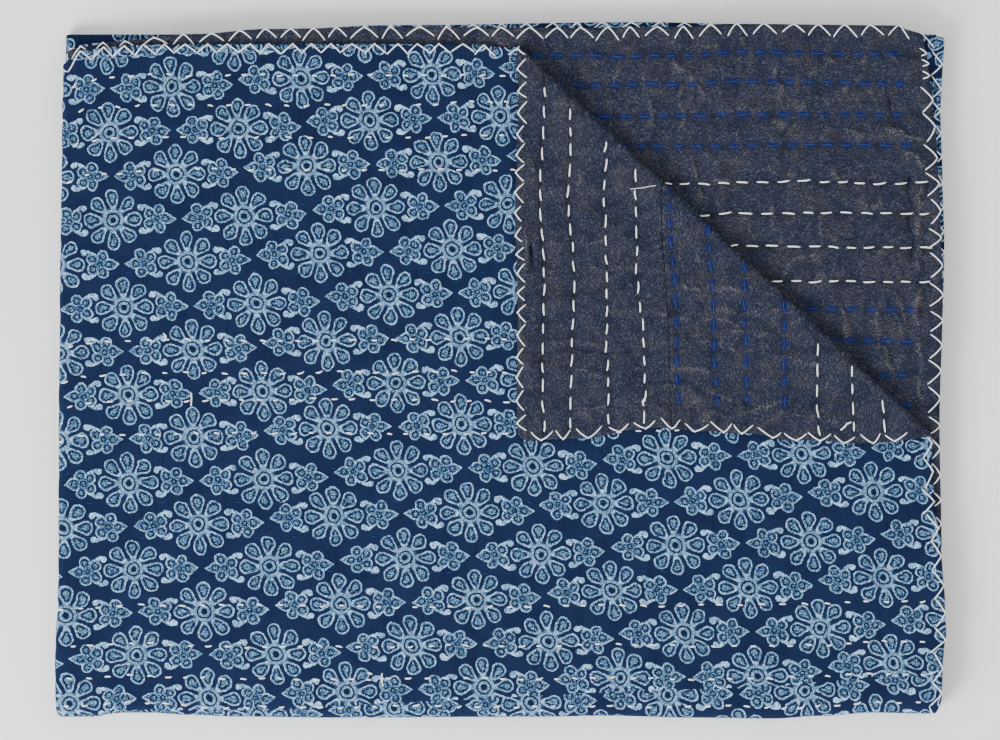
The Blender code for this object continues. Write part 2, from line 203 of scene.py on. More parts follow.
CREASES = (  # of the reverse: (half width, height, its points as (u, v)), in millimetres
    (1.6, 0.6, ((257, 2146), (261, 2128), (257, 2123))),
    (1.4, 0.5, ((236, 2139), (235, 2126))),
    (2.0, 0.8, ((212, 2149), (203, 2139), (207, 2125), (204, 2103), (206, 2096))),
    (1.4, 0.5, ((198, 2140), (197, 2126))),
    (1.8, 0.7, ((132, 2149), (130, 2132), (127, 2118))),
    (1.6, 0.7, ((86, 2152), (100, 2141), (116, 2134))),
    (1.8, 0.8, ((61, 2152), (64, 2137), (78, 2126))),
    (1.8, 0.7, ((39, 2152), (31, 2144), (27, 2133))),
    (1.6, -0.6, ((45, 2133), (43, 2122), (40, 2109))),
    (1.6, 0.6, ((173, 2108), (158, 2111), (143, 2110), (134, 2112))),
    (1.6, 0.6, ((189, 2093), (186, 2074), (176, 2067))),
    (1.4, 0.5, ((199, 2074), (196, 2055))),
    (1.4, 0.4, ((160, 2092), (159, 2079))),
    (1.5, 0.7, ((145, 2060), (138, 2063), (129, 2058), (108, 2057))),
    (1.6, 0.7, ((89, 2063), (81, 2056), (73, 2062), (71, 2069))),
    (1.6, 0.6, ((73, 2096), (61, 2092), (68, 2086), (78, 2083))),
    (1.7, 0.9, ((51, 2096), (40, 2095), (27, 2088), (13, 2087))),
    (1.6, 0.8, ((34, 2081), (24, 2074), (15, 2069))),
    (1.5, 0.6, ((94, 2026), (96, 2011))),
    (1.6, 0.7, ((126, 1981), (117, 1990), (108, 1995), (97, 1997))),
    (1.5, 0.5, ((97, 1995), (90, 1981))),
    (1.8, -0.7, ((87, 2014), (73, 2010), (57, 2007))),
    (1.5, 0.5, ((108, 2040), (103, 2032), (97, 2026))),
    (1.8, 0.7, ((78, 1950), (76, 1938), (75, 1925))),
    (1.8, 0.7, ((50, 1953), (51, 1928), (46, 1919), (41, 1905))),
    (1.6, 0.6, ((38, 1967), (31, 1957), (29, 1941))),
    (2.4, -0.9, ((25, 2057), (26, 2039), (23, 2017), (24, 1994))),
    (2.0, 0.8, ((17, 2047), (18, 2019), (17, 1985))),
    (2.0, 0.8, ((17, 1967), (20, 1939), (18, 1913), (17, 1884))),
    (1.4, 0.5, ((192, 2044), (190, 2033))),
    (1.4, 0.5, ((175, 2037), (174, 2028))),
    (1.7, 0.7, ((217, 2166), (204, 2159), (191, 2161), (179, 2160))),
    (1.6, 0.6, ((156, 2166), (150, 2157), (153, 2148))),
    (1.5, 0.5, ((112, 2111), (103, 2119), (89, 2116))),
    (1.5, 0.5, ((231, 2118), (227, 2105), (232, 2096))),
    (1.5, -0.5, ((165, 2149), (162, 2130), (164, 2121))),
    (1.5, 0.5, ((136, 2103), (126, 2099), (127, 2086))),
    (1.5, 0.5, ((59, 1990), (53, 1999), (42, 2002))),
    (1.5, 0.5, ((159, 2028), (150, 2020), (147, 2010))),
    (1.5, 0.5, ((69, 2039), (59, 2034), (46, 2036))),
    (1.6, 0.4, ((181, 114), (179, 123), (180, 129))),
    (1.4, 0.4, ((165, 95), (165, 108))),
    (1.8, 0.3, ((158, 14), (158, 41), (154, 72), (151, 99))),
    (1.8, 0.6, ((141, 115), (136, 132), (137, 147))),
    (1.6, 0.6, ((133, 146), (132, 169), (130, 194))),
    (1.6, 0.6, ((117, 142), (117, 168), (113, 194))),
    (1.6, 0.6, ((111, 110), (112, 136), (107, 162))),
    (1.6, 0.5, ((93, 134), (91, 147), (86, 158))),
    (1.8, 0.6, ((80, 198), (73, 209), (69, 221))),
    (1.6, 0.5, ((75, 103), (75, 122), (71, 138))),
    (2.0, -0.5, ((68, 90), (64, 107), (61, 121), (54, 129), (50, 141), (41, 161))),
    (1.6, 0.7, ((53, 138), (48, 151), (39, 163))),
    (1.7, 0.7, ((36, 161), (41, 180), (46, 192))),
    (1.7, 0.7, ((34, 190), (31, 210), (26, 231))),
    (1.8, 0.4, ((101, 10), (101, 29), (99, 53))),
    (2.4, -0.5, ((94, -8), (94, 21), (91, 52), (88, 77))),
    (1.6, 0.5, ((78, 36), (74, 45), (67, 54))),
    (1.6, 0.4, ((214, 29), (221, 37), (230, 47))),
    (1.6, 0.7, ((244, 6), (236, 7), (223, 12))),
    (2.2, -0.8, ((177, 3), (165, 5), (154, 3), (135, -2))),
    (1.8, 0.6, ((194, -1), (176, 0), (159, -2))),
    (1.6, 0.5, ((127, 4), (113, 1), (104, -3))),
    (1.6, 0.5, ((44, 37), (37, 42), (28, 40))),
    (1.6, 0.5, ((57, 90), (47, 85), (36, 88))),
    (1.6, 0.5, ((174, 128), (166, 136), (157, 134))),
    (1.6, 0.5, ((100, 149), (101, 171), (96, 188))),
    (1.6, 0.5, ((34, 128), (39, 141), (32, 150))),
)

# How creases are raised, worn on their ridges and shaded with paint in their troughs, in
# millimetres as they are
CREASE_CELL = 20  # of the grid that finds a crease
CREASE_REACH = 9.0  # how far a crease is felt
CREASE_WANDER = 4.5  # how far one strays from its points
CREASE_SPREAD = 1.25  # its slope's reach, as a share of its half width
SAME_PLACE = 0.001  # by how much two parts of one may differ and be as near as each other
WEAR_REACH = 3.2  # how far the wear, and in a trough the painted shade, spreads beside it
USUAL_HEIGHT = 0.7  # of a crease whose wear on a ridge and painted shade in a trough are as strong as most
VEIN_SPAN = 30  # what makes a vein's waves about the distance from it
VEIN_WIDTH = 2.4  # how far from it a vein is raised

# Where the cloths have relief, and how thick they are at their edges
UNDER_TURN = 0.010  # how far the reverse keeps its relief under the turned corner
DEEPEST = 0.4  # how deep the reverse may sink, as a share of the cloth
ROLL_SEEN = 0.7  # share of the roll's arc that is seen from above
ROLL_UNDER = 0.3  # and the rest
RIM_SHARE = 0.15  # how thick a cloth is at its very edge
SEAM_SHARE = 0.5  # how much of the rim's reach a seam leaves out

# The cloths' grids: their map, their lines beside an edge, the facets of the folds, cells
FLAT_MAP = "flat_cloth"
RIM_STEPS = (0.0, 0.0003, 0.0009, 0.0020)
SIDE_FACETS = 12
END_FACETS = 8
ROLL_FACETS = 18
FLAP_FACETS = 10
INNER_FACETS = 6  # of every fold, on a cloth's inner face
TOP_CELLS = 8  # from one row to the next on the printed top
UNDER_CELLS = 4  # on the underside
BACK_CELLS = 12  # on the reverse
HIDDEN_STEP = 0.030  # cell of the grid where a cloth is hidden
INNER_STEP = 0.060  # cell of a cloth's inner face
FAR_STEP = 0.016  # cell of the print past the side fold
BACK_REACH = 0.372  # u to which the backing is seen
BACK_SHOWN = 0.345  # and v from either end
NEAR_CUT = 0.012  # how near a cut a face lies to be cut
WIDE_FACE = 0.0002  # the area, in square metres, past which it is cut wherever it lies
MERGE = 0.00001  # distance within which points of a cloth are one
MERGE_THREAD = 0.000001  # the same of thread
SMOOTH_TO = 70  # degrees between faces that still look like one
# What the reverse's points tell its material: how far the nearest crease is and how strong,
# the same of a vein, how much blue dye and painted shade it has by the blue stitches, how far
# it puffs, which also sets painted shade in the row valleys, and its v in millimetres, which
# places the painted shadow line of the hem
MARKS = ("crease", "creased", "vein", "veined", "dyed", "puff", "row_place")


def read(table, place):
    """The value of a table's second column at a place in its first, eased between rows."""
    if place <= table[0][0]:
        return table[0][1]
    for (start, low), (end, high) in zip(table, table[1:]):
        if place <= end:
            share = (place - start) / (end - start)
            return low + (high - low) * (1 - math.cos(math.pi * share)) / 2
    return table[-1][1]


def ease(share):
    """A share from 0 to 1, held there and eased at both ends."""
    share = min(max(share, 0.0), 1.0)
    return share * share * (3 - 2 * share)


def steps(start, end, step):
    """Even places from start to end, both included, about a step apart."""
    count = max(1, round((end - start) / step))
    return [start + (end - start) * i / count for i in range(count + 1)]


def waves(u, v, wide, tall, layer):
    """Chance waves from about -1 to 1, so wide along u and so tall along v."""
    return noise.noise((u / wide, v / tall, layer))


def shaped(u, v):
    """A point of the flat quilt, once its four edges have their true, uneven lines."""
    across = u
    along = v
    if u < HALF_WIDTH:
        across -= read(NEAR_SIDE, v) * (1 - u / HALF_WIDTH)
    elif u > HALF_WIDTH + SIDE_ARC:
        across += read(FAR_SIDE, v) * (1 - (QUILT_WIDTH - u) / HALF_WIDTH)
    if v < RUN_TOP:
        along -= read(FIRST_END, u) * (1 - v / RUN_TOP)
    elif v > QUILT_LENGTH - RUN_SECOND:
        out = read(SECOND_END, max(u, CORNER_REACH))
        at_corner = (read(SECOND_END, u) - out) * max(1 - (QUILT_LENGTH - v) / CORNER_FADE, 0)
        along += out * (1 - (QUILT_LENGTH - v) / RUN_SECOND) + at_corner
    return across, along


def past_crease(u, v):
    """How far a point of the flat quilt lies past the start of the turned corner's bend."""
    seen = (Vector((u, v)) - CREASE_AT_END).dot(CREASE_OUTWARD)
    return seen + FLAP_RADIUS + HALF_SHEET


def turned_over(u, v, h):
    """Lay the corner over the crease, on top of the sheet."""
    past = past_crease(u, v)
    if past <= 0:
        return u, v, h
    turn = min(past, FLAP_ARC) / FLAP_RADIUS
    beyond = max(past - FLAP_ARC, 0)
    reach = (FLAP_RADIUS - h) * math.sin(turn) - beyond
    moved = Vector((u, v)) + CREASE_OUTWARD * (reach - past)
    spring = CREASE_SPRING * (1 - math.cos(turn)) / 2
    spring *= math.exp(-((beyond / SPRING_REACH) ** 2))
    spring *= 1 + 0.5 * waves(u, v, 0.050, 0.050, 0.5)
    return moved.x, moved.y, FLAP_RADIUS - (FLAP_RADIUS - h) * math.cos(turn) + spring


def turned_under(place, h, start, radius):
    """Lay what lies past start under the sheet. Return its new place and height."""
    past = place - start
    if past <= 0:
        return place, h
    turn = min(past, math.pi * radius) / radius
    beyond = max(past - math.pi * radius, 0)
    return (
        start + (radius + h) * math.sin(turn) - beyond,
        (radius + h) * math.cos(turn) - radius,
    )


def loft(x, y):
    """How high the layers stand here, as a share of their plain height."""
    rise = 1
    for centre_x, centre_y, reach, share in LOFT:
        square = ((x - centre_x) ** 2 + (y - centre_y) ** 2) / reach**2
        rise += share * math.exp(-square)
    return rise


def folded(u, v, h):
    """A point of the flat quilt, h above its middle, where it lies in the folded one."""
    if u < HALF_WIDTH and v < RUN_TOP:
        u, v, h = turned_over(u, v, h)
    v, h = turned_under(v, h, END_FOLD, END_RADIUS)
    u, h = turned_under(u, h, HALF_WIDTH, SIDE_RADIUS)
    v, h = turned_under(v, h, RUN_TOP, ROLL_RADIUS)
    from_side = HALF_WIDTH + SIDE_RADIUS - u
    from_roll = RUN_TOP + ROLL_RADIUS - v
    x = from_side - read(SIDE_LINE, v) * max(1 - abs(from_side) / LINE_REACH, 0)
    y = from_roll - read(ROLL_LINE, from_side) * max(1 - abs(from_roll) / LINE_REACH, 0)
    z = h + 2 * ROLL_RADIUS + HALF_SHEET
    return Vector((x, y, z * loft(x, y)))


def middle_of_fold():
    """The middle of the folded quilt, which the solids have over the origin."""
    spots = [
        (u, v)
        for v in steps(0, QUILT_LENGTH, 0.01)
        for u in (0, HALF_WIDTH + SIDE_ARC / 2, QUILT_WIDTH)
    ]
    spots += [
        (u, v)
        for u in steps(0, QUILT_WIDTH, 0.01)
        for v in (0, RUN_TOP + ROLL_ARC / 2, QUILT_LENGTH)
    ]
    found = [
        folded(*shaped(u, v), h) for u, v in spots for h in (-HALF_SHEET, HALF_SHEET)
    ]
    return Vector((
        (min(p.x for p in found) + max(p.x for p in found)) / 2,
        (min(p.y for p in found) + max(p.y for p in found)) / 2,
        0,
    ))


MIDDLE = middle_of_fold()


def all_rows():
    """(v, whether it is white) of each sewn row of the quilt, in order."""
    last = QUILT_LENGTH - SECOND_ROWS[-1]
    places = list(FIRST_ROWS)
    places += steps(FIRST_ROWS[-1], last, ROW_PITCH)[1:-1]
    rows = [(v, i // ROWS_OF_A_COLOUR % 2 == 0) for i, v in enumerate(places)]
    rows += [
        (QUILT_LENGTH - out, i // ROWS_OF_A_COLOUR % 2 == 1)
        for i, out in reversed(list(enumerate(SECOND_ROWS)))
    ]
    return rows


ROWS = all_rows()
ROW_PLACES = [v for v, white in ROWS]


def rounded(u, v):
    """A point of the flat quilt, once its corners are round."""
    side = min(u, QUILT_WIDTH - u)
    end = min(v, QUILT_LENGTH - v)
    radius = CORNER_RADII[v > RUN_TOP][u > HALF_WIDTH]
    if side >= radius or end >= radius:
        return u, v
    p = 1 - side / radius
    q = 1 - end / radius
    moved_side = radius * (1 - p * math.sqrt(1 - q * q / 2))
    moved_end = radius * (1 - q * math.sqrt(1 - p * p / 2))
    return (
        moved_side if u < HALF_WIDTH else QUILT_WIDTH - moved_side,
        moved_end if v < RUN_TOP else QUILT_LENGTH - moved_end,
    )


def swayed(u, v):
    """How much further along the rows bend at a point."""
    return sum(
        read(places, u) * max(1 - abs(v - row) / SWAY_REACH, 0) for row, places in ROW_SWAY
    )


def cut_out(u, v):
    """A point of the plain rectangle, where it lies on the quilt as cut and sewn."""
    if v < RUN_TOP:
        near_turn = 1 - ease((u - LEAN_START) / (LEAN_END - LEAN_START))
        v += read(ROW_LEAN, v) * near_turn
        v += swayed(u, v) * near_turn
    wander = ROW_WANDER * waves(u, v, 0.055, 0.020, 5.5)
    from_seam = abs(v - STRIP_WIDTH) - SEAM_REACH
    v += wander * ease(min(v, QUILT_LENGTH - v) / END_FADE) * ease(from_seam / SEAM_FADE)
    return shaped(*rounded(u, v))


def placed(u, v, h):
    """A point of the plain rectangle, h above the sheet's middle, in the folded quilt."""
    return folded(*cut_out(u, v), h) - MIDDLE


def puffed(v):
    """How far the cloth stands up at v: 0 on a sewn row and 1 midway between two."""
    after = bisect.bisect(ROW_PLACES, v)
    before_row = ROW_PLACES[after - 1] if after else -ROW_PLACES[0]
    after_row = (
        ROW_PLACES[after] if after < len(ROW_PLACES)
        else 2 * QUILT_LENGTH - ROW_PLACES[-1]
    )
    share = min(v - before_row, after_row - v) / (after_row - before_row) * 2
    return math.sin(math.pi / 2 * min(max(share, 0), 1)) ** PUFF_POWER


def rim(u, v, first, last):
    """How thick a cloth is at a point, as a share, rounded to its edges, less to a seam."""
    reach = RIM_STEPS[-1]
    start = v - first + (SEAM_SHARE * reach if first > 0 else 0)
    end = last - v + (SEAM_SHARE * reach if last < QUILT_LENGTH else 0)
    inset = min(u, QUILT_WIDTH - u, start, end)
    if inset >= reach:
        return 1
    return RIM_SHARE + (1 - RIM_SHARE) * math.sqrt(1 - (1 - max(inset, 0) / reach) ** 2)


def front_relief(u, v):
    """How far the printed side stands out at a point of the plain rectangle."""
    cloth = bpy.context.scene.quilt_cloth
    inside = 1 - ease((u - HALF_WIDTH - SIDE_ARC / 2) / (SIDE_ARC / 2))
    on_top = 1 - ease((v - RUN_TOP) / (ROLL_SEEN * ROLL_ARC))
    under = ease((v - RUN_TOP - ROLL_SEEN * ROLL_ARC) / (ROLL_UNDER * ROLL_ARC))
    under *= 1 - ease((v - END_FOLD) / END_ARC)
    if inside <= 0 or on_top + under <= 0:
        return 0
    puff = puffed(v)
    ripple = waves(u, v, 0.012, 0.045, 1.7)
    swell = waves(u, v, 0.070, 0.050, 9.2)
    raised = cloth.front_puff * puff + cloth.front_ripple * (0.6 + ripple + 0.8 * swell)
    return inside * (on_top * max(raised, 0) - under * cloth.channel * (1 - puff))


def seen_backing(u, v):
    """How much of the backing's relief a point has: 1 where the reverse is seen."""
    across, along = cut_out(u, v)
    if u < HALF_WIDTH and v < RUN_TOP:
        return ease(past_crease(across, along) / FLAP_ARC)
    if u > HALF_WIDTH or v < QUILT_LENGTH - RUN_SECOND:
        return 0
    beneath = RUN_TOP - RUN_SECOND + QUILT_LENGTH - along
    return ease((past_crease(across, beneath) + UNDER_TURN) / UNDER_TURN)


def crease_parts():
    """The straight parts of the creases, under each cell that they pass near."""
    parts = {}
    for width, height, points in CREASES:
        for start, end in zip(points, points[1:]):
            low, high = (
                [int((extreme(a, b) + out) // CREASE_CELL) for a, b in zip(start, end)]
                for extreme, out in ((min, -CREASE_REACH), (max, CREASE_REACH))
            )
            for column in range(low[0], high[0] + 1):
                for row in range(low[1], high[1] + 1):
                    parts.setdefault((column, row), []).append((width, height, start, end))
    return parts


CREASE_PARTS = crease_parts()


def nearest_crease(u, v):
    """The crease that rules at a point: (its lift, which side and how far, its strength)."""
    across, along = cut_out(u, v)
    x = across * 1000 + CREASE_WANDER * waves(across, along, 0.012, 0.012, 1.3)
    y = along * 1000 + CREASE_WANDER * waves(across, along, 0.012, 0.012, 6.1)
    ruling = (0.0, CREASE_REACH, 0.0)
    near = CREASE_PARTS.get((int(x // CREASE_CELL), int(y // CREASE_CELL)), ())
    for width, height, start, end in near:
        run_x, run_y = end[0] - start[0], end[1] - start[1]
        square = run_x**2 + run_y**2
        share = ((x - start[0]) * run_x + (y - start[1]) * run_y) / square
        held = min(max(share, 0), 1)
        off = math.dist((x, y), (start[0] + held * run_x, start[1] + held * run_y))
        side = ((x - start[0]) * run_y - (y - start[1]) * run_x) / math.sqrt(square)
        if off < CREASE_REACH and off < abs(ruling[1]) + SAME_PLACE:
            fade = 0.85 + 0.8 * waves(across, along, 0.014, 0.014, 8.4)
            lift = height * math.exp(-((off / (CREASE_SPREAD * width)) ** 2)) * fade
            strength = math.copysign(math.exp(-((off / WEAR_REACH) ** 2)), height) * fade
            ruling = (lift, math.copysign(off, side), strength * abs(height) / USUAL_HEIGHT)
    return ruling


def vein(u, v):
    """A smaller, chance crease near a point: (about how far it is, its strength)."""
    wander = 0.012 * waves(u, v, 0.060, 0.050, 4.1)
    off = waves(u + wander, v, 0.036, 0.070, 6.6)
    patch = 0.35 + 1.3 * waves(u, v, 0.028, 0.028, 2.9)
    return off * VEIN_SPAN, min(max(patch, 0), 1)


def back_relief(u, v):
    """How far the reverse stands out at a point of the plain rectangle."""
    seen = seen_backing(u, v)
    if not seen:
        return 0
    cloth = bpy.context.scene.quilt_cloth
    ripple = waves(u, v, 0.010, 0.040, 3.3)
    wrinkle = waves(u, v, 0.022, 0.030, 7.9)
    raised = cloth.back_puff * puffed(v) * (0.8 + 0.4 * wrinkle)
    raised += cloth.back_ripple * (0.6 + ripple + 0.6 * wrinkle)
    raised += cloth.swell * (0.35 + waves(u, v, 0.026, 0.036, 2.2))
    off, patch = vein(u, v)
    raised += cloth.ridge * patch * math.exp(-((off / VEIN_WIDTH) ** 2))
    raised += cloth.crease * nearest_crease(u, v)[0] / 1000
    return seen * max(raised, -DEEPEST * CLOTH)


def front_height(u, v):
    """The printed face's height above the sheet's middle."""
    thick = rim(u, v, 0, QUILT_LENGTH)
    return HALF_GAP + CLOTH * thick + front_relief(u, v) * thick


def back_height(u, v, first=0.0, last=QUILT_LENGTH):
    """The reverse face's height, which is below the sheet's middle."""
    thick = rim(u, v, first, last)
    return -(HALF_GAP + CLOTH * thick + back_relief(u, v) * thick)


# ---------------------------------------------------------------- grids of cloth


def crosswise(fine_to, fine, coarse):
    """The u of a cloth's lines: rims, fine cells, coarse ones and the side fold."""
    near = list(RIM_STEPS) + steps(RIM_STEPS[-1], fine_to, fine)[1:]
    if fine_to < HALF_WIDTH:
        near += steps(fine_to, HALF_WIDTH, HIDDEN_STEP)[1:]
    bend = steps(HALF_WIDTH, HALF_WIDTH + SIDE_ARC, SIDE_ARC / SIDE_FACETS)[1:]
    far = steps(bend[-1], QUILT_WIDTH - RIM_STEPS[-1], coarse)[1:]
    return near + bend + far + [QUILT_WIDTH - s for s in reversed(RIM_STEPS[:-1])]


def along_rows(first, last, cells):
    """Lines between two v that follow the sewn rows, with so many cells between two."""
    places = [first, *(v for v in ROW_PLACES if first + MERGE < v < last - MERGE), last]
    lines = [first]
    for start, end in zip(places, places[1:]):
        count = max(1, round(cells * (end - start) / ROW_PITCH))
        lines += steps(start, end, (end - start) / count)[1:]
    return lines


def bend_lines(start, arc, facets):
    """The v of a fold's facets, without its start."""
    return steps(start, start + arc, arc / facets)[1:]


def front_lines():
    """The v of the printed front's lines: fine on top, where rows show under, else few."""
    lines = list(RIM_STEPS) + along_rows(RIM_STEPS[-1], RUN_TOP, TOP_CELLS)[1:]
    lines += bend_lines(RUN_TOP, ROLL_ARC, ROLL_FACETS)
    lines += along_rows(lines[-1], END_FOLD, UNDER_CELLS)[1:]
    lines += bend_lines(END_FOLD, END_ARC, END_FACETS)
    lines += steps(lines[-1], INNER_ROLL, HIDDEN_STEP)[1:]
    lines += bend_lines(INNER_ROLL, ROLL_ARC, END_FACETS)
    lines += steps(lines[-1], QUILT_LENGTH - RIM_STEPS[-1], HIDDEN_STEP)[1:]
    return lines + [QUILT_LENGTH - s for s in reversed(RIM_STEPS[:-1])]


def backing_lines():
    """The v of the main backing's lines: fine on the turned corner and on layer 2."""
    lines = [STRIP_WIDTH + HALF_GAP + s for s in RIM_STEPS]
    lines += along_rows(lines[-1], BACK_SHOWN, BACK_CELLS)[1:]
    lines += steps(BACK_SHOWN, RUN_TOP, HIDDEN_STEP)[1:]
    lines += bend_lines(RUN_TOP, ROLL_ARC, END_FACETS)
    lines += steps(lines[-1], END_FOLD, HIDDEN_STEP)[1:]
    lines += bend_lines(END_FOLD, END_ARC, END_FACETS)
    lines += steps(lines[-1], INNER_ROLL, HIDDEN_STEP)[1:]
    lines += bend_lines(INNER_ROLL, ROLL_ARC, END_FACETS)
    lines += steps(lines[-1], QUILT_LENGTH - BACK_SHOWN, HIDDEN_STEP)[1:]
    lines += along_rows(lines[-1], QUILT_LENGTH - RIM_STEPS[-1], BACK_CELLS)[1:]
    return lines + [QUILT_LENGTH - s for s in reversed(RIM_STEPS[:-1])]


def strip_lines():
    """The v of the end strip's lines."""
    last = STRIP_WIDTH - HALF_GAP
    lines = list(RIM_STEPS) + along_rows(RIM_STEPS[-1], last - RIM_STEPS[-1], BACK_CELLS)[1:]
    return lines + [last - s for s in reversed(RIM_STEPS[:-1])]


def flat_grid(across, along, outer):
    """A flat grid with lines at these u and v, at the height outer."""
    bm = bmesh.new()
    bmesh.ops.create_grid(
        bm, x_segments=len(across) - 1, y_segments=len(along) - 1, size=0.5
    )
    for vert in bm.verts:
        column = round((vert.co.x + 0.5) * (len(across) - 1))
        row = round((vert.co.y + 0.5) * (len(along) - 1))
        vert.co = (across[column], along[row], outer)
    return bm


def cut(bm, faces, point, normal):
    """Cut some of the mesh's faces along the plane through a point."""
    pieces = dict.fromkeys(faces)
    for face in faces:
        pieces.update(dict.fromkeys(face.edges))
        pieces.update(dict.fromkeys(face.verts))
    bmesh.ops.bisect_plane(
        bm, geom=list(pieces), dist=MERGE, plane_co=point, plane_no=normal
    )


def close_inside(bm, inner, across, along):
    """Close the grid into a thin slab, whose inner face has only a few cells."""
    edges = [edge for edge in bm.edges if edge.is_boundary]
    wall = bmesh.ops.extrude_edge_only(bm, edges=edges)["geom"]
    for item in wall:
        if isinstance(item, bmesh.types.BMVert):
            item.co.z = inner
    loop = [item for item in wall if isinstance(item, bmesh.types.BMEdge) and item.is_boundary]
    bmesh.ops.contextual_create(bm, geom=loop)
    for place, normal in [(u, (1, 0, 0)) for u in across] + [(v, (0, 1, 0)) for v in along]:
        inside = [
            face for face in bm.faces
            if all(abs(face.verts[i].co.z - inner) < MERGE for i in (0, 2))
        ]
        cut(bm, inside, Vector(normal) * place, normal)
    bmesh.ops.recalc_face_normals(bm, faces=bm.faces[:])


def inner_lines(first, last):
    """The few u and v of a cloth's inner face, which lie closer together in the folds."""
    side_end = HALF_WIDTH + SIDE_ARC
    across = steps(0, HALF_WIDTH, INNER_STEP)[1:]
    across += bend_lines(HALF_WIDTH, SIDE_ARC, INNER_FACETS)
    across += steps(side_end, QUILT_WIDTH, INNER_STEP)[1:-1]
    along = steps(0, QUILT_LENGTH, INNER_STEP)
    for start, arc in ((RUN_TOP, ROLL_ARC), (END_FOLD, END_ARC), (INNER_ROLL, ROLL_ARC)):
        along += steps(start, start + arc, arc / INNER_FACETS)
    return across, [v for v in along if first < v < last]


def cut_turn(bm):
    """Give a flat cloth lines along the bend of the turned corner."""
    start = CREASE_AT_END - CREASE_OUTWARD * (FLAP_RADIUS + HALF_SHEET)
    for distance in steps(0, FLAP_ARC, FLAP_ARC / FLAP_FACETS):
        near = [
            face for face in bm.faces
            if face.verts[0].co.y < RUN_TOP and face.verts[0].co.x < HALF_WIDTH
            and (len(face.verts) > 4 or face.calc_area() > WIDE_FACE
                 or abs(past_crease(*face.verts[0].co.xy) - distance) < NEAR_CUT)
        ]
        cut(bm, near, (*(start + CREASE_OUTWARD * distance), 0), (*CREASE_OUTWARD, 0))


def cloth_piece(name, across, along, inner, outer, height, material):
    """One cloth of the quilt, raised between its rows and folded with the others."""
    bm = flat_grid(across, along, outer)
    close_inside(bm, inner, *inner_lines(along[0], along[-1]))
    plain = bm.verts.layers.float_vector.new("plain")
    for vert in bm.verts:
        vert[plain] = vert.co
        vert.co.x, vert.co.y = cut_out(vert.co.x, vert.co.y)
    cut_turn(bm)
    flat = bm.loops.layers.uv.new(FLAT_MAP)
    for face in bm.faces:
        for loop in face.loops:
            loop[flat].uv = loop.vert.co.xy
    marks = [bm.verts.layers.float.new(name) for name in MARKS]
    for vert in bm.verts:
        u, v, h = vert[plain]
        if abs(h - outer) < MERGE:
            h = height(u, v)
            if outer < 0:
                found = (*nearest_crease(u, v)[1:], *vein(u, v), dyed(u, v), puffed(v), v * 1000)
                for layer, value in zip(marks, found):
                    vert[layer] = value
        vert.co = folded(vert.co.x, vert.co.y, h) - MIDDLE
    mesh = bpy.data.meshes.new(name)
    bm.to_mesh(mesh)
    bm.free()
    mesh.materials.append(material)
    mesh.shade_smooth()
    mesh.set_sharp_from_angle(angle=math.radians(SMOOTH_TO))
    return put_in_scene(name, mesh)


def put_in_scene(name, mesh):
    """A piece of the quilt with this mesh."""
    piece = bpy.data.objects.new(name, mesh)
    bpy.context.scene.collection.objects.link(piece)
    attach(piece, BODY)
    return piece


# ---------------------------------------------------------------- materials

CLOTH_GLOSS = 0.08
THREAD_STREAKS = 900  # to the metre
PRINT_PITCH = 0.62  # from yarn to yarn of the printed cotton, in millimetres
BACK_PITCH = 0.7
PRINT_WEAVE = 0.00016  # depth of its weave, in metres
BACK_WEAVE = 0.00022
HEM_LINE = 23.2  # v of the hem's turned edge, where a painted shadow line and a groove in the bump run beside the first row
SOFT_EDGE = (0.25, -0.3)  # where a printed shape starts to show and is full

# The flower and the small motif, in millimetres from their middles. A drop has its start,
# the radius there, its end and the radius there.
PETALS = 8
PETAL = ((9.2, 0), 1.9, (17.7, 0), 5.3)
PETAL_LINE = 2.25  # how far inside a petal its dark line runs
HEART = 8.0
RING = 5.1
LOBES = 5
LOBE_PLACE = 7.0
LOBE_RADIUS = 4.6
LOBE_RING = 2.3
MIDST = 5.6
TIP = ((8.0, 0), 4.2, (15.0, 0), 0.3)
STEM = ((-4.5, 7.5), 1.4, (-9.8, 10.6), 1.2)
CURL = ((-9.8, 10.6), 1.2, (-12.6, 9.2), 2.4)
EYE = 1.7
FLOWER_SHARE = (0.98, 0.96)  # how the flower is stretched along its row and across it

# How the printing blocks lie, in millimetres. The flowers' rows run along a, one over the
# next along b, and both are found from x, y, their product and a start.
A_BY_X = 1.0305
A_BY_Y = 0.1185
A_BY_BOTH = 0.000097
A_START = 629.7
B_BY_X = 0.0296
B_BY_Y = 1.005
B_START = 22.5
SKEWED_TO = 560  # y past which a leans no further
BLOCK_STEP = 3.57  # how far b steps from each block, two flowers long, to the next
FIRST_STEP = 186.0  # a at which those steps add up to nothing
BLOCK_EDGE = 0.75  # where in a row a block begins, in flowers
ANEW = 531.5  # b past which the printing starts anew, near the thick roll
ANEW_A = 17.5
ANEW_B = 20.8
FIRST_ROW = (10.5, 9.5)  # b under which the first row of flowers is set apart
FIRST_ROW_B = 5.3
ROW_JOGS = ((4.5, -5.6), (8.5, 3.5))  # row past which all lie so much further along a


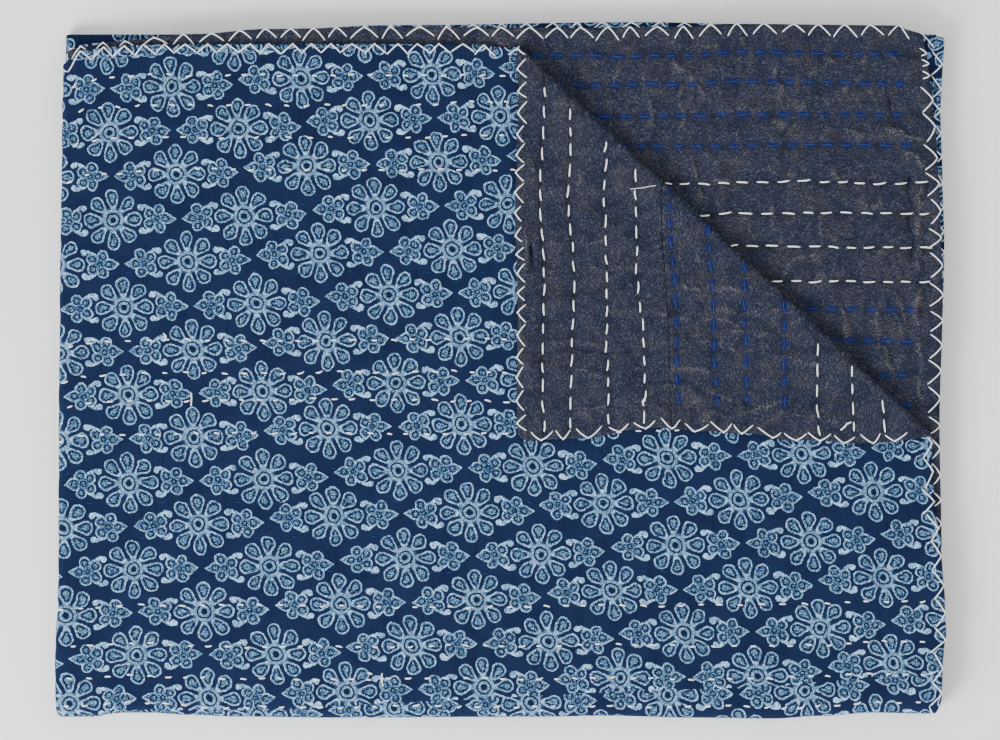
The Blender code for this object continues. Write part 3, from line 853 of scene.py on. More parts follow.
class Wire:
    """A number that a material's nodes work out. Sums and products make Math nodes."""

    def __init__(self, socket):
        self.socket = socket
        self.tree = socket.id_data

    def math(self, operation, *others):
        node = self.tree.nodes.new("ShaderNodeMath")
        node.operation = operation
        for slot, item in zip(node.inputs, (self, *others)):
            join(item, slot)
        return Wire(node.outputs[0])

    def __add__(self, other):
        return self.math("ADD", other)

    def __sub__(self, other):
        return self.math("SUBTRACT", other)

    def __mul__(self, other):
        return self.math("MULTIPLY", other)

    def __truediv__(self, other):
        return self.math("DIVIDE", other)

    def __neg__(self):
        return self.math("MULTIPLY", -1)

    def __abs__(self):
        return self.math("ABSOLUTE")

    def least(self, other):
        """The smaller of two."""
        return self.math("MINIMUM", other)

    def most(self, other):
        """The larger of two."""
        return self.math("MAXIMUM", other)

    def over(self, other):
        """1 where this is larger than the other, else 0."""
        return self.math("GREATER_THAN", other)

    def rise(self, start, end):
        """0 below start and 1 past end, eased between them. End may be the lower."""
        node = self.tree.nodes.new("ShaderNodeMapRange")
        node.interpolation_type = "SMOOTHSTEP"
        join(self, node.inputs["Value"])
        node.inputs["From Min"].default_value = start
        node.inputs["From Max"].default_value = end
        return Wire(node.outputs["Result"])


def join(item, slot):
    """Put a wire or a plain number into a node's socket."""
    if isinstance(item, Wire):
        slot.id_data.links.new(item.socket, slot)
    else:
        slot.default_value = item


def length(x, y):
    """The length of a flat vector."""
    return (x * x + y * y).math("SQRT")


def mix(start, end, share):
    """A colour between two, which are wires or plain colours."""
    node = share.tree.nodes.new("ShaderNodeMix")
    node.data_type = "RGBA"
    join(share, node.inputs["Factor"])
    for name, colour in (("A", start), ("B", end)):
        slot = next(s for s in node.inputs if s.name == name and s.type == "RGBA")
        join(colour, slot)
    return Wire(next(s for s in node.outputs if s.type == "RGBA"))


def cloudy(x, y, size, detail=2.0, layer=0.0):
    """Soft noise from 0 to 1 over the flat cloth, with clouds of about this size."""
    joined = x.tree.nodes.new("ShaderNodeCombineXYZ")
    join(x, joined.inputs["X"])
    join(y, joined.inputs["Y"])
    joined.inputs["Z"].default_value = layer
    node = x.tree.nodes.new("ShaderNodeTexNoise")
    node.inputs["Scale"].default_value = 1 / size
    node.inputs["Detail"].default_value = detail
    x.tree.links.new(joined.outputs["Vector"], node.inputs["Vector"])
    return Wire(node.outputs["Fac"])


def attribute(surface, name):
    """A number that each point of a mesh holds."""
    node = surface.id_data.nodes.new("ShaderNodeAttribute")
    node.attribute_name = name
    return Wire(node.outputs["Fac"])


def plain_material(name, roughness, gloss):
    """A material of one finish. Return it and its surface."""
    material = bpy.data.materials.new(name)
    material.use_nodes = True
    surface = material.node_tree.nodes["Principled BSDF"]
    surface.inputs["Roughness"].default_value = roughness
    surface.inputs["Specular IOR Level"].default_value = gloss
    return material, surface


def cloth_material(name, roughness):
    """A material for cloth. Return it, its surface, and its flat x and y in millimetres."""
    material, surface = plain_material(name, roughness, CLOTH_GLOSS)
    tree = material.node_tree
    place = tree.nodes.new("ShaderNodeUVMap")
    place.uv_map = FLAT_MAP
    parts = tree.nodes.new("ShaderNodeSeparateXYZ")
    tree.links.new(place.outputs["UV"], parts.inputs["Vector"])
    across = Wire(parts.outputs["X"]) * 1000
    along = Wire(parts.outputs["Y"]) * 1000
    return material, surface, across, along


def bump(surface, high, strength, depth):
    """Let a wire raise a surface by up to about a depth."""
    node = surface.id_data.nodes.new("ShaderNodeBump")
    node.inputs["Strength"].default_value = strength
    node.inputs["Distance"].default_value = depth
    join(high, node.inputs["Height"])
    surface.id_data.links.new(node.outputs["Normal"], surface.inputs["Normal"])


def weave(surface, across, along, pitch, depth, relief):
    """Bump of plain weave, of uneven yarn and of more relief on a surface."""
    turn = 2 * math.pi / pitch
    warp = (across * turn).math("SINE")
    weft = (along * turn).math("SINE")
    yarn = cloudy(across, along, 1.1, 3.0, 5.0)
    bump(surface, warp * weft * 0.35 + yarn + relief, 1.0, depth)


def folded_angle(x, y, count):
    """A point turned back to the nearest of so many spokes: its place along and across."""
    wedge = 2 * math.pi / count
    angle = y.math("ARCTAN2", x)
    turned = (angle + wedge / 2).math("FLOORED_MODULO", wedge) - wedge / 2
    reach = length(x, y)
    return reach * turned.math("COSINE"), abs(reach * turned.math("SINE"))


def drop(x, y, start, start_radius, end, end_radius):
    """Distance to a drop between two points, with round ends of two sizes."""
    span = math.dist(start, end)
    turn_x = (end[0] - start[0]) / span
    turn_y = (end[1] - start[1]) / span
    x = x - start[0]
    y = y - start[1]
    along = x * turn_x + y * turn_y
    across = abs(y * turn_x - x * turn_y)
    slope = (start_radius - end_radius) / span
    rise = math.sqrt(1 - slope * slope)
    place = along * rise - across * slope
    first = length(along, across) - start_radius
    last = length(along - span, across) - end_radius
    side = across * rise + along * slope - start_radius
    nearer = first + (side - first) * place.over(0)
    return nearer + (last - nearer) * place.over(span * rise)


def in_row(row, a, b, settings):
    """How far a point lies from the nearest flower of a row, along it and across it."""
    repeat = settings.repeat
    even = row.math("ADD", 1).math("FLOORED_MODULO", 2)
    for last, jog in ROW_JOGS:
        a = a + row.over(last) * jog
    a = a - even * (repeat / 2)
    column = (a / repeat).math("ROUND")
    block = ((column - BLOCK_EDGE + even * 0.5) / 2).math("FLOOR")
    return abs(a - column * repeat), abs(b + block * BLOCK_STEP - row * settings.row_pitch)


def lattice(x, y, settings):
    """Where a point lies from its nearest flower and from its nearest small motif.

    The print is stamped with blocks. Their rows of flowers run a little askew, step from
    block to block, and start anew near the thick roll.
    """
    skewed = y.least(SKEWED_TO)
    a = x * A_BY_X - skewed * A_BY_Y - x * skewed * A_BY_BOTH + A_START
    b = x * B_BY_X + y * B_BY_Y + B_START
    average = b + (a - FIRST_STEP) * (BLOCK_STEP / (2 * settings.repeat))
    anew = average.over(ANEW)
    a = a + anew * ANEW_A
    shift = anew * ANEW_B - average.rise(*FIRST_ROW) * FIRST_ROW_B
    b = b + shift
    above = ((average + shift) / settings.row_pitch).math("FLOOR")
    wide, tall = in_row(above, a, b, settings)
    next_wide, next_tall = in_row(above + 1, a, b, settings)
    nearer = length(wide, tall).over(length(next_wide, next_tall))
    level = tall.over(next_tall)
    flower_x = wide + (next_wide - wide) * nearer
    flower_y = tall + (next_tall - tall) * nearer
    motif_x = wide + (next_wide - wide) * level - settings.motif_place
    motif_y = tall + (next_tall - tall) * level
    return flower_x, flower_y, motif_x, motif_y


def flower_masks(x, y):
    """A flower's shape, filling, dark lines and core, each from 0 to 1."""
    along, across = folded_angle(x, y, PETALS)
    petal = drop(along, across, *PETAL)
    reach = length(x, y)
    inside = petal.least(reach - HEART).rise(*SOFT_EDGE)
    petals = reach.rise(9.6, 11.8)
    filling = (petal.rise(-0.5, -1.0) * petals).most(reach.rise(10.5, 8.0) * 0.55)
    lines = abs(petal + PETAL_LINE).rise(0.95, 0.45) * petals
    core = petal.rise(-2.7, -3.3) * petals
    ring = abs(reach - RING).rise(0.9, 0.45)
    dot = reach.rise(2.9, 2.1)
    return inside, filling, lines, core, ring.most(dot)


def motif_masks(x, y):
    """The same of a small motif. Its tip points along +x."""
    along, across = folded_angle(x, y, LOBES)
    from_lobe = length(along - LOBE_PLACE, across)
    reach = length(x, y)
    body = (from_lobe - LOBE_RADIUS).least(reach - MIDST).least(drop(x, y, *TIP))
    inside = body.least(drop(x, y, *STEM)).least(drop(x, y, *CURL)).rise(*SOFT_EDGE)
    filling = body.rise(-0.5, -1.0)
    lines = abs(from_lobe - LOBE_RING).rise(0.85, 0.35)
    core = from_lobe.rise(1.8, 1.1)
    eye = abs(reach - EYE).rise(0.8, 0.3)
    return inside, filling, lines, core, eye


def printed_cotton(settings):
    """Indigo cotton with a resist print of flowers and small motifs, its weave, and painted shade
    along its fine puckers.
    """
    material, surface, across, along = cloth_material("printed_cotton", 0.9)
    x = -across
    y = along
    wobble_x = cloudy(x, y, 12, 1.0, 1.0) - 0.5
    wobble_y = cloudy(x, y, 12, 1.0, 2.0) - 0.5
    rough_x = cloudy(x, y, 2.0, 1.0, 3.0) - 0.5
    rough_y = cloudy(x, y, 2.0, 1.0, 4.0) - 0.5
    warped_x = x + wobble_x * 3.6 + rough_x * 1.0
    warped_y = y + wobble_y * 3.6 + rough_y * 1.0
    flower_x, flower_y, motif_x, motif_y = lattice(warped_x, warped_y, settings)
    flower = flower_masks(flower_x * FLOWER_SHARE[0], flower_y * FLOWER_SHARE[1])
    motif = motif_masks(motif_x, motif_y)
    inside, filling, lines, core, dark = (one.most(other) for one, other in zip(flower, motif))
    patchy = cloudy(x, y, 3.0, 2.0, 9.0)
    dye = cloudy(x, y, 5.5, 2.0, 6.0)
    streak = cloudy(x, y, 1.3, 2.0, 10.0)
    fleck = cloudy(x, y, 1.0, 2.0, 8.0)
    tone = cloudy(x, y, 30, 2.0, 7.0)
    ground = mix(settings.ground, settings.ground_deep_and_shade, tone.rise(0.42, 0.60) * 0.6)
    ground = mix(ground, settings.fill, fleck.rise(0.54, 0.68) * 0.14)
    pale = mix(settings.pale, settings.pale_dull, dye.rise(0.42, 0.58) * 0.75)
    pale = mix(pale, settings.fill_teal, streak.rise(0.51, 0.59) * 0.85)
    fill = mix(settings.fill, settings.fill_teal, dye.rise(0.40, 0.58))
    fill = mix(fill, settings.pale_dull, streak.rise(0.55, 0.64) * 0.6)
    bright = mix(fill, settings.pale_dull, patchy.rise(0.46, 0.58))
    colour = mix(ground, pale, inside)
    colour = mix(colour, fill, filling)
    colour = mix(colour, bright, core * 0.75)
    colour = mix(colour, settings.line, fleck.rise(0.53, 0.60) * filling * 0.8)
    colour = mix(colour, settings.pale, fleck.rise(0.46, 0.38) * inside * 0.6)
    colour = mix(colour, settings.line, lines * patchy.rise(0.68, 0.55))
    colour = mix(colour, settings.line, dark)
    # Fine puckers: a dent in the bump, and painted shade that darkens the ground along them
    pucker_and_shade = cloudy(x + wobble_y * 6, y * 0.16, 4.5, 2.0, 11.0)
    pucker_and_shade = abs(pucker_and_shade - 0.5).rise(0.016, 0.003) * cloudy(x, y, 17, 1.0, 12.0).rise(0.50, 0.57)
    colour = mix(colour, settings.ground_deep_and_shade, pucker_and_shade * 0.55)
    join(colour, surface.inputs["Base Color"])
    weave(surface, across, along, PRINT_PITCH, PRINT_WEAVE, pucker_and_shade * -2.5)
    return material


def backing_cotton(name, settings, brown_share):
    """Plain cotton, given a second dye bath, worn brown and pale on its creases, with painted
    shade in its row valleys and crease troughs and a painted shadow line beside the first row.
    """
    material, surface, across, along = cloth_material(name, 0.93)
    patch = cloudy(across, along, 26, 3.0, 1.0)
    streak = cloudy(across, along * 0.5, 5.0, 3.0, 2.0)
    warp = cloudy(across, along * 0.4, 0.6, 0.0, 3.0)
    weft = cloudy(across * 0.4, along, 0.6, 0.0, 4.0)
    grain = (warp + weft) / 2
    fleck = cloudy(across, along, 1.7, 2.0, 8.0)
    # Crease strength, signed by its height: wear on ridges, painted shade in troughs
    worn = attribute(surface, "creased")
    veined = attribute(surface, "veined")
    off = abs(attribute(surface, "crease"))
    crease = off.rise(1.2, 0.3) * 0.55 + off.rise(3.4, 0.6) * 0.45
    vein = abs(attribute(surface, "vein")).rise(1.6, 0.2)
    blue = attribute(surface, "dyed")
    # Painted shade in the row valleys, where the cloth sinks to the stitches
    low = attribute(surface, "puff").rise(0.75, 0.0)
    # The hem's fold beside the first row: a groove in the bump and a painted shadow line
    hem_groove_and_shade = abs(attribute(surface, "row_place") - HEM_LINE).rise(0.7, 0.25)
    hem_groove_and_shade = hem_groove_and_shade * streak.rise(0.64, 0.46)
    colour = mix(settings.reverse_blue, settings.reverse, patch.rise(0.42, 0.58))
    rub = cloudy(across, along * 0.8, 11, 2.0, 10.0)
    brown = patch.rise(0.46, 0.58) * 0.35 + rub.rise(0.50, 0.62) * 0.35
    brown = brown + worn.rise(0.0, 1.2) * 0.5 + veined * 0.2
    colour = mix(colour, settings.reverse_brown, brown * streak.rise(0.40, 0.58) * brown_share)
    colour = mix(colour, settings.reverse_dark_and_shade, grain.rise(0.51, 0.43) * 0.72)
    rubbed = crease * worn.most(0) + vein * veined * 0.5
    rubbed = (rubbed * streak.rise(0.38, 0.54)).least(1)
    pale = grain.rise(0.51, 0.58) * (fleck.rise(0.46, 0.58) * 0.56 + rubbed)
    colour = mix(colour, settings.reverse_pale, pale.least(1))
    colour = mix(colour, settings.worn, rubbed * grain.rise(0.42, 0.54) * 0.52)
    # Painted shade in the crease troughs and the row valleys, and darker patches at random; the
    # hem's painted shadow line joins it below
    shade_and_patches = crease * (-worn).most(0) * 0.75 + low * 0.30 + rub.rise(0.50, 0.36) * 0.34
    colour = mix(colour, settings.reverse_dark_and_shade, shade_and_patches.most(hem_groove_and_shade * 0.9).least(1))
    # Blue dye and painted shade beside the blue stitches
    blue = (blue + (fleck - 0.5) * 1.6).rise(0.18, 0.68) * grain.rise(0.64, 0.51)
    colour = mix(colour, settings.dyed, blue * 0.95)
    join(colour, surface.inputs["Base Color"])
    crumple = cloudy(across, along * 0.8, 7, 2.0, 9.0) * 9
    relief = grain + rubbed - hem_groove_and_shade * 3 + crumple
    weave(surface, across, along, BACK_PITCH, BACK_WEAVE, relief)
    return material


def thread_material(name, colour, shade, gloss, sheen):
    """Soft cotton thread with slight streaks."""
    material, surface = plain_material(name, 0.75, gloss)
    surface.inputs["Sheen Weight"].default_value = sheen
    tree = material.node_tree
    place = tree.nodes.new("ShaderNodeTexCoord")
    noisy = tree.nodes.new("ShaderNodeTexNoise")
    noisy.inputs["Scale"].default_value = THREAD_STREAKS
    noisy.inputs["Detail"].default_value = 2.0
    tree.links.new(place.outputs["Object"], noisy.inputs["Vector"])
    streak = Wire(noisy.outputs["Fac"])
    join(mix(colour, shade, streak.rise(0.35, 0.7)), surface.inputs["Base Color"])
    bump(surface, streak, 0.6, 0.0003)
    return material


# ---------------------------------------------------------------- thread

BLUE_SHARE = 0.72  # radius of the blue thread, as a share of the white rows'
DARK_SHARE = 0.60  # the same of the seam's
EDGE_SHARE = 0.84  # and of the zigzag's
STITCH_POINTS = 6
FINE_BLUE = 0.6  # share of its radius that blue thread has where it sinks into the print
HOLE_DEPTH = 0.7  # of a thread's middle under the face at its holes, in radii
STANDS = 1.3  # how much higher the middle of a stitch lies, in radii
BOW = 0.35  # how much a slanted stitch bends, as a share of its slant
ROW_STARTS = (0.004, 0.010)  # u between which a white row starts
BLUE_STARTS = 0.016  # how much further in the blue rows start
LENGTHS = (0.82, 1.25)  # of stitches, as shares of the usual
SLANT = 0.0010  # how much one may slant more than the one before
JOG = 0.0005  # how far off its row it may lie
GAPS = (0.7, 1.3)  # between stitches, as shares of the usual
SHOWS = 0.40  # how much of its relief the reverse has where stitches are laid
OUT_OF_SIGHT = 0.002  # how far under the turned corner the print's stitches end
DYE_REACH = 0.0046  # v to which blue thread bleeds and its painted shade reaches
DYE_EDGE = 0.0016  # u over which that fades at a stitch's end
LOOSE_STEP = 0.0015  # between the points of a loose thread
LIES = 0.6  # height of a loose thread's middle over the face, in radii
RESTS = 0.25  # the same of the zigzag's
SINKS = 0.6  # and its depth at its holes
THIN_HOLE = 0.8  # share of its radius there
EDGE_INSET = 0.0004  # how far in from the edge it leaves a face
EDGE_STANDS = 0.35  # how far out its middle is on the edge, in radii
CROSS_SKEW = 0.0005  # how far along the edge its two ways over part
PRINT_LEG = (1.1, 5)  # how its part on the print bows, and of how many pieces it is
BACK_LEG = (1.35, 6)  # the same on the reverse
EDGE_PITCHES = (0.82, 1.18)  # of its stitches, as shares of the usual
EDGE_DEPTHS = (0.75, 1.2)
EDGE_GAPS = (0.1, 1.2)
EDGES = (  # (along which axis, at which end of the other, first, last, pitch, depth)
    ("u", 0, 0.006, 0.330, 0.0168, 0.0064),
    ("u", 0, 0.340, QUILT_WIDTH - 0.006, 0.0176, 0.0076),
    ("v", 0, 0.012, 0.300, 0.0190, 0.0066),
    ("v", 0, 0.312, QUILT_LENGTH - 0.045, 0.0215, 0.0086),
    ("v", 0, QUILT_LENGTH - 0.043, QUILT_LENGTH - 0.010, 0.0095, 0.0052),
    ("u", 1, 0.010, QUILT_WIDTH - 0.006, 0.0213, 0.0082),
    ("v", 1, 0.010, QUILT_LENGTH - 0.004, 0.0190, 0.0086),
)
SEAM_START = 0.006
SEAM_STITCH = 0.0021  # from one of the seam's stitches to the next
SEAM_PITCHES = (0.85, 1.2)  # the same by chance, as shares of that
SEAM_LENGTHS = (0.45, 0.75)
SEAM_JOG = 0.0002
SEAM_STANDS = 0.0001
LOOSE = (  # (side, share of the thread's radius, points as (u, v))
    (1, 0.9, ((0.5918, 0.2747), (0.5914, 0.2790), (0.5917, 0.2852))),
    (1, 0.9, ((0.4421, 0.4965), (0.4424, 0.5010), (0.4413, 0.5065))),
    (1, 1.0, ((0.6137, 0.2283), (0.6122, 0.2294), (0.6112, 0.2316))),
    (1, 1.2, ((0.4532, 0.4955), (0.4500, 0.4970))),
    (-1, 1.0, ((0.0101, 0.2489), (0.0127, 0.2516), (0.0156, 0.2537), (0.0171, 0.2570))),
    (-1, 0.35, ((0.1974, 0.0946), (0.1972, 0.1044), (0.1985, 0.1137))),
    (-1, 1.0, ((0.0252, 0.1001), (0.0222, 0.0982), (0.0187, 0.0991))),
)


def lifted(u, v, h):
    """A thread's point in the folded quilt, kept above what the quilt rests on."""
    point = placed(u, v, h)
    point.z = max(point.z, bpy.context.scene.quilt_thread.radius)
    return point


def dive(share):
    """How far a stitch stands off the cloth along its length, from its ends' holes."""
    return 1 - abs(2 * share - 1) ** 4


def stitch(u, v, reach, turn, height, side, share_of, thread):
    """The points of one running stitch, from hole to hole, on one side of the quilt."""
    strand = []
    for i in range(STITCH_POINTS + 1):
        share = i / STITCH_POINTS
        at_u = u + reach * share
        at_v = v + turn * (share - 0.5) + BOW * turn * math.sin(math.pi * share)
        off = -HOLE_DEPTH * thread.radius + STANDS * thread.radius * dive(share)
        h = height(at_u, at_v) + side * off
        strand.append((lifted(at_u, at_v, h), share_of * (0.75 + 0.3 * dive(share))))
    return strand


def print_side_seen(u, v):
    """Whether a stitch on the printed side can be seen from outside."""
    if u > HALF_WIDTH + SIDE_ARC or v > END_FOLD + END_ARC:
        return False
    return u > HALF_WIDTH or v > RUN_TOP or past_crease(*cut_out(u, v)) < -OUT_OF_SIGHT


def sewing_plan():
    """Each row's (v, whether white, stitches), a stitch being (u, length, slope, on top, jog)."""
    chance = random.Random(11)
    plan = []
    for v, white in ROWS:
        stitches = []
        u = chance.uniform(*ROW_STARTS) + (0 if white else BLUE_STARTS)
        slope = 0
        while u < QUILT_WIDTH - 0.02:
            for on_top, usual in ((False, BACK_STITCH), (True, FRONT_STITCH)):
                reach = usual * chance.uniform(*LENGTHS)
                slope = 0.5 * slope + chance.uniform(-SLANT, SLANT)
                stitches.append((u, reach, slope, on_top, chance.uniform(-JOG, JOG)))
                u += reach + HOLE_GAP * chance.uniform(*GAPS)
        plan.append((v, white, stitches))
    return plan


SEWING = sewing_plan()


def running_stitches(white):
    """The strands of all running stitches of one colour that can be seen."""
    thread = bpy.context.scene.quilt_thread
    strands = []
    for v, is_white, stitches in SEWING:
        if is_white != white:
            continue
        for u, reach, slope, on_top, jog in stitches:
            if v > QUILT_LENGTH - RUN_SECOND and u < SHORT_OF_EDGE[white]:
                continue
            if on_top and print_side_seen(u, v):
                fine = 1.0 if white else FINE_BLUE
                strands.append(stitch(u, v + jog, reach, slope, front_height, 1, fine, thread))
            elif not on_top and min(seen_backing(u, v), seen_backing(u + reach, v)) > SHOWS:
                strands.append(stitch(u, v + jog, reach, slope, back_height, -1, 1.0, thread))
    return strands + (loose_ends() if white else [])


def loose_ends():
    """White thread's stray stitches and one thin tail, each laid out point by point."""
    thread = bpy.context.scene.quilt_thread
    strands = []
    for side, share, points in LOOSE:
        height = front_height if side > 0 else back_height
        strands.append([
            (lifted(u, v, height(u, v) + side * LIES * share * thread.radius), share)
            for u, v in finely(points)
        ])
    return strands


def finely(points):
    """The same route, with more points along its straight parts."""
    route = [points[0]]
    for start, end in zip(points, points[1:]):
        count = max(1, round(math.dist(start, end) / LOOSE_STEP))
        for i in range(1, count + 1):
            route.append(tuple(a + (b - a) * i / count for a, b in zip(start, end)))
    return route


def dyed(u, v):
    """How strong the blue dye and the painted shade are at a point of the reverse, by the
    stitches of the blue thread.
    """
    row = min(bisect.bisect(ROW_PLACES, v - DYE_REACH), len(ROWS) - 1)
    place, white, stitches = SEWING[row]
    if white or abs(place - v) > DYE_REACH:
        return 0.0
    over = max(
        min(u - start, start + reach - u)
        for start, reach, slope, on_top, jog in stitches if not on_top
    )
    return (1 - abs(place - v) / DYE_REACH) * ease(over / DYE_EDGE + 0.6)


def edge_point(axis, far, place, inset):
    """A point at a place along one of the quilt's edges, and so far in from it."""
    if axis == "u":
        return place, (QUILT_LENGTH - inset if far else inset)
    return (QUILT_WIDTH - inset if far else inset), place


def leg(axis, far, start, end, depth, bow, count, height, side):
    """A thread's points on one face, from its hole at start up to the edge at end."""
    radius = bpy.context.scene.quilt_thread.radius
    strand = []
    for i in range(count + 1):
        share = i / count
        inset = EDGE_INSET + depth * (1 - share) ** bow
        u, v = edge_point(axis, far, start + (end - start) * share, inset)
        off = RESTS * radius if i else -SINKS * radius
        strand.append((lifted(u, v, height(u, v) + side * off), 1.0 if i else THIN_HOLE))
    return strand


def whip(axis, far, apex, start, end, depth, skew, thread):
    """One thread over the edge: in from start on the print to end on the reverse."""
    strand = leg(axis, far, start, apex - skew, depth, *PRINT_LEG, front_height, 1)
    for h in (0.5, 0, -0.5):
        u, v = edge_point(axis, far, apex - skew * h * 2, -EDGE_STANDS * thread.radius)
        strand.append((lifted(u, v, h * HALF_SHEET), 1.0))
    back = leg(axis, far, end, apex + skew, depth, *BACK_LEG, back_height, -1)
    return strand + back[::-1]


def edge_stitches():
    """The strands of the zigzag that is sewn over all of the quilt's edges."""
    thread = bpy.context.scene.quilt_thread
    chance = random.Random(5)
    strands = []
    for axis, far, first, last, pitch, usual in EDGES:
        places = [first]
        while places[-1] < last:
            places.append(places[-1] + pitch * chance.uniform(*EDGE_PITCHES) / 2)
        for before, apex, after in zip(places[0::2], places[1::2], places[2::2]):
            depth = usual * chance.uniform(*EDGE_DEPTHS)
            gap = thread.edge_gap * chance.uniform(*EDGE_GAPS)
            for start, end, skew in (
                (before, after - gap, CROSS_SKEW), (after, before + gap, -CROSS_SKEW)
            ):
                strands.append(whip(axis, far, apex, start, end, depth, skew, thread))
    return strands


def seam_stitches():
    """The strands of the fine stitches along the seam between the backing's widths."""
    chance = random.Random(3)
    strands = []
    u = SEAM_START
    while seen_backing(u, STRIP_WIDTH) > 0.5:
        v = STRIP_WIDTH + chance.uniform(-SEAM_JOG, SEAM_JOG)
        reach = SEAM_STITCH * chance.uniform(*SEAM_LENGTHS)
        strands.append([
            (lifted(u + reach * share, v, -HALF_SHEET - SEAM_STANDS * dive(share)), 1.0)
            for share in (0, 0.5, 1)
        ])
        u += SEAM_STITCH * chance.uniform(*SEAM_PITCHES)
    return strands


def thread_piece(name, strands, radius, material):
    """Tubes along strands of points, each with its share of the radius, as one piece."""
    curve = bpy.data.curves.new(name, "CURVE")
    curve.dimensions = "3D"
    curve.bevel_depth = radius
    curve.bevel_resolution = 1
    curve.use_fill_caps = True
    for strand in strands:
        spline = curve.splines.new("POLY")
        spline.points.add(len(strand) - 1)
        for point, (place, share) in zip(spline.points, strand):
            point.co = (*place, 1)
            point.radius = share
    route = bpy.data.objects.new(name + "_route", curve)
    bpy.context.scene.collection.objects.link(route)
    mesh = bpy.data.meshes.new_from_object(
        route.evaluated_get(bpy.context.evaluated_depsgraph_get())
    )
    bpy.data.objects.remove(route)
    bm = bmesh.new()
    bm.from_mesh(mesh)
    bmesh.ops.remove_doubles(bm, verts=bm.verts[:], dist=MERGE_THREAD)
    bmesh.ops.recalc_face_normals(bm, faces=bm.faces[:])
    bm.to_mesh(mesh)
    bm.free()
    mesh.name = name
    mesh.materials.clear()
    mesh.materials.append(material)
    mesh.shade_smooth()
    return put_in_scene(name, mesh)


# ---------------------------------------------------------------- settings


def colour_property(name, description, default):
    """A colour setting."""
    return bpy.props.FloatVectorProperty(
        name=name, description=description, default=(*default, 1.0), size=4,
        subtype="COLOR", min=0.0, max=1.0,
    )


def size_property(name, description, default):
    """A length setting."""
    return bpy.props.FloatProperty(
        name=name, description=description, default=default, unit="LENGTH", precision=5
    )


class QuiltCloth(bpy.types.PropertyGroup):
    """How finely the cloths are modelled and how far they stand up between rows."""

    fine_step: size_property("Fine Step", "Cell of the grid where the cloth is seen", 0.0034)
    back_step: size_property("Back Step", "Cell of the backing's grid where it is seen", 0.0022)
    front_puff: size_property("Front Puff", "Rise of the print between two rows", 0.0005)
    front_ripple: size_property("Front Ripple", "Small ripples of the print", 0.00022)
    back_puff: size_property("Back Puff", "Rise of the reverse between two rows", 0.0012)
    back_ripple: size_property("Back Ripple", "Small ripples of the reverse", 0.0010)
    swell: size_property("Swell", "Soft waves of the reverse", 0.0022)
    ridge: size_property("Ridge", "Rise of the reverse's small creases", 0.0008)
    crease: bpy.props.FloatProperty(
        name="Crease", description="Share of the main creases' heights", default=2.3
    )
    channel: size_property("Channel", "Depth of the rows on the underside", 0.0004)


class QuiltPrint(bpy.types.PropertyGroup):
    """The print's repeat and colours, and the reverse's colours."""

    repeat: bpy.props.FloatProperty(
        name="Repeat", description="From one flower to the next, in millimetres", default=106.3
    )
    row_pitch: bpy.props.FloatProperty(
        name="Row Pitch", description="From one row of flowers to the next, in millimetres",
        default=34.8,
    )
    motif_place: bpy.props.FloatProperty(
        name="Motif Place", description="From a flower to its small motif, in millimetres",
        default=35.6,
    )
    ground: colour_property("Ground", "Indigo ground", (0.0076, 0.0158, 0.052))
    # Darker indigo for the ground's uneven tone, and the colour of the painted shade along the
    # puckers
    ground_deep_and_shade: colour_property("Deep Ground", "Darker indigo", (0.0050, 0.0112, 0.040))
    pale: colour_property("Pale", "Resist outlines", (0.41, 0.67, 0.98))
    pale_dull: colour_property("Dull Pale", "Outlines that took dye", (0.094, 0.202, 0.366))
    fill: colour_property("Filling", "Inside petals", (0.018, 0.050, 0.118))
    fill_teal: colour_property("Teal Filling", "Greener inside", (0.031, 0.080, 0.152))
    line: colour_property("Line", "Dark inner lines", (0.004, 0.012, 0.038))
    reverse: colour_property("Reverse", "Backing", (0.0295, 0.0338, 0.0555))
    reverse_blue: colour_property("Blue Reverse", "Bluer backing", (0.0220, 0.0286, 0.0530))
    reverse_brown: colour_property("Brown Reverse", "Worn backing", (0.0475, 0.0437, 0.0518))
    # Dark flecks of the weave, and the colour of the painted shade in troughs, row valleys and
    # beside the hem
    reverse_dark_and_shade: colour_property("Dark Reverse", "Dark flecks", (0.0075, 0.0100, 0.0215))
    reverse_pale: colour_property("Pale Reverse", "Pale flecks", (0.108, 0.110, 0.130))
    worn: colour_property("Rubbed", "Creases that the wear has paled", (0.118, 0.111, 0.121))
    # Blue dye and painted shade beside the blue stitches of the reverse
    dyed: colour_property("Dyed", "Under blue stitches", (0.0095, 0.0160, 0.080))


class QuiltThread(bpy.types.PropertyGroup):
    """The stitches' sizes and the threads' colours."""

    radius: size_property("Radius", "Radius of the white rows' thread", 0.00062)
    edge_gap: size_property("Edge Gap", "Between the zigzag's points on the reverse", 0.0022)
    white: colour_property("White", "White thread", (0.94, 0.955, 0.97))
    white_shade: colour_property("White Shade", "White thread's streaks", (0.82, 0.84, 0.86))
    blue: colour_property("Blue", "Blue thread", (0.012, 0.030, 0.140))
    blue_shade: colour_property("Blue Shade", "Blue thread's streaks", (0.026, 0.052, 0.225))
    seam: colour_property("Seam", "Dark thread of the seam", (0.004, 0.006, 0.014))


class QuiltStage(bpy.types.PropertyGroup):
    """The floor, the lights and the camera."""

    view_width: size_property("View Width", "Width that the camera sees", 0.79)
    view_height: size_property("View Height", "Height of the camera", 3.6)
    key: bpy.props.FloatProperty(
        name="Key", description="Strength of the main light", default=150.0, unit="POWER"
    )
    fill: bpy.props.FloatProperty(
        name="Fill", description="Strength of the fill light", default=18.0, unit="POWER"
    )
    sky: bpy.props.FloatProperty(
        name="Sky", description="Strength of the light all round", default=1.0
    )
    paper: colour_property("Paper", "The floor", (0.96, 0.96, 0.96))


# ---------------------------------------------------------------- operators


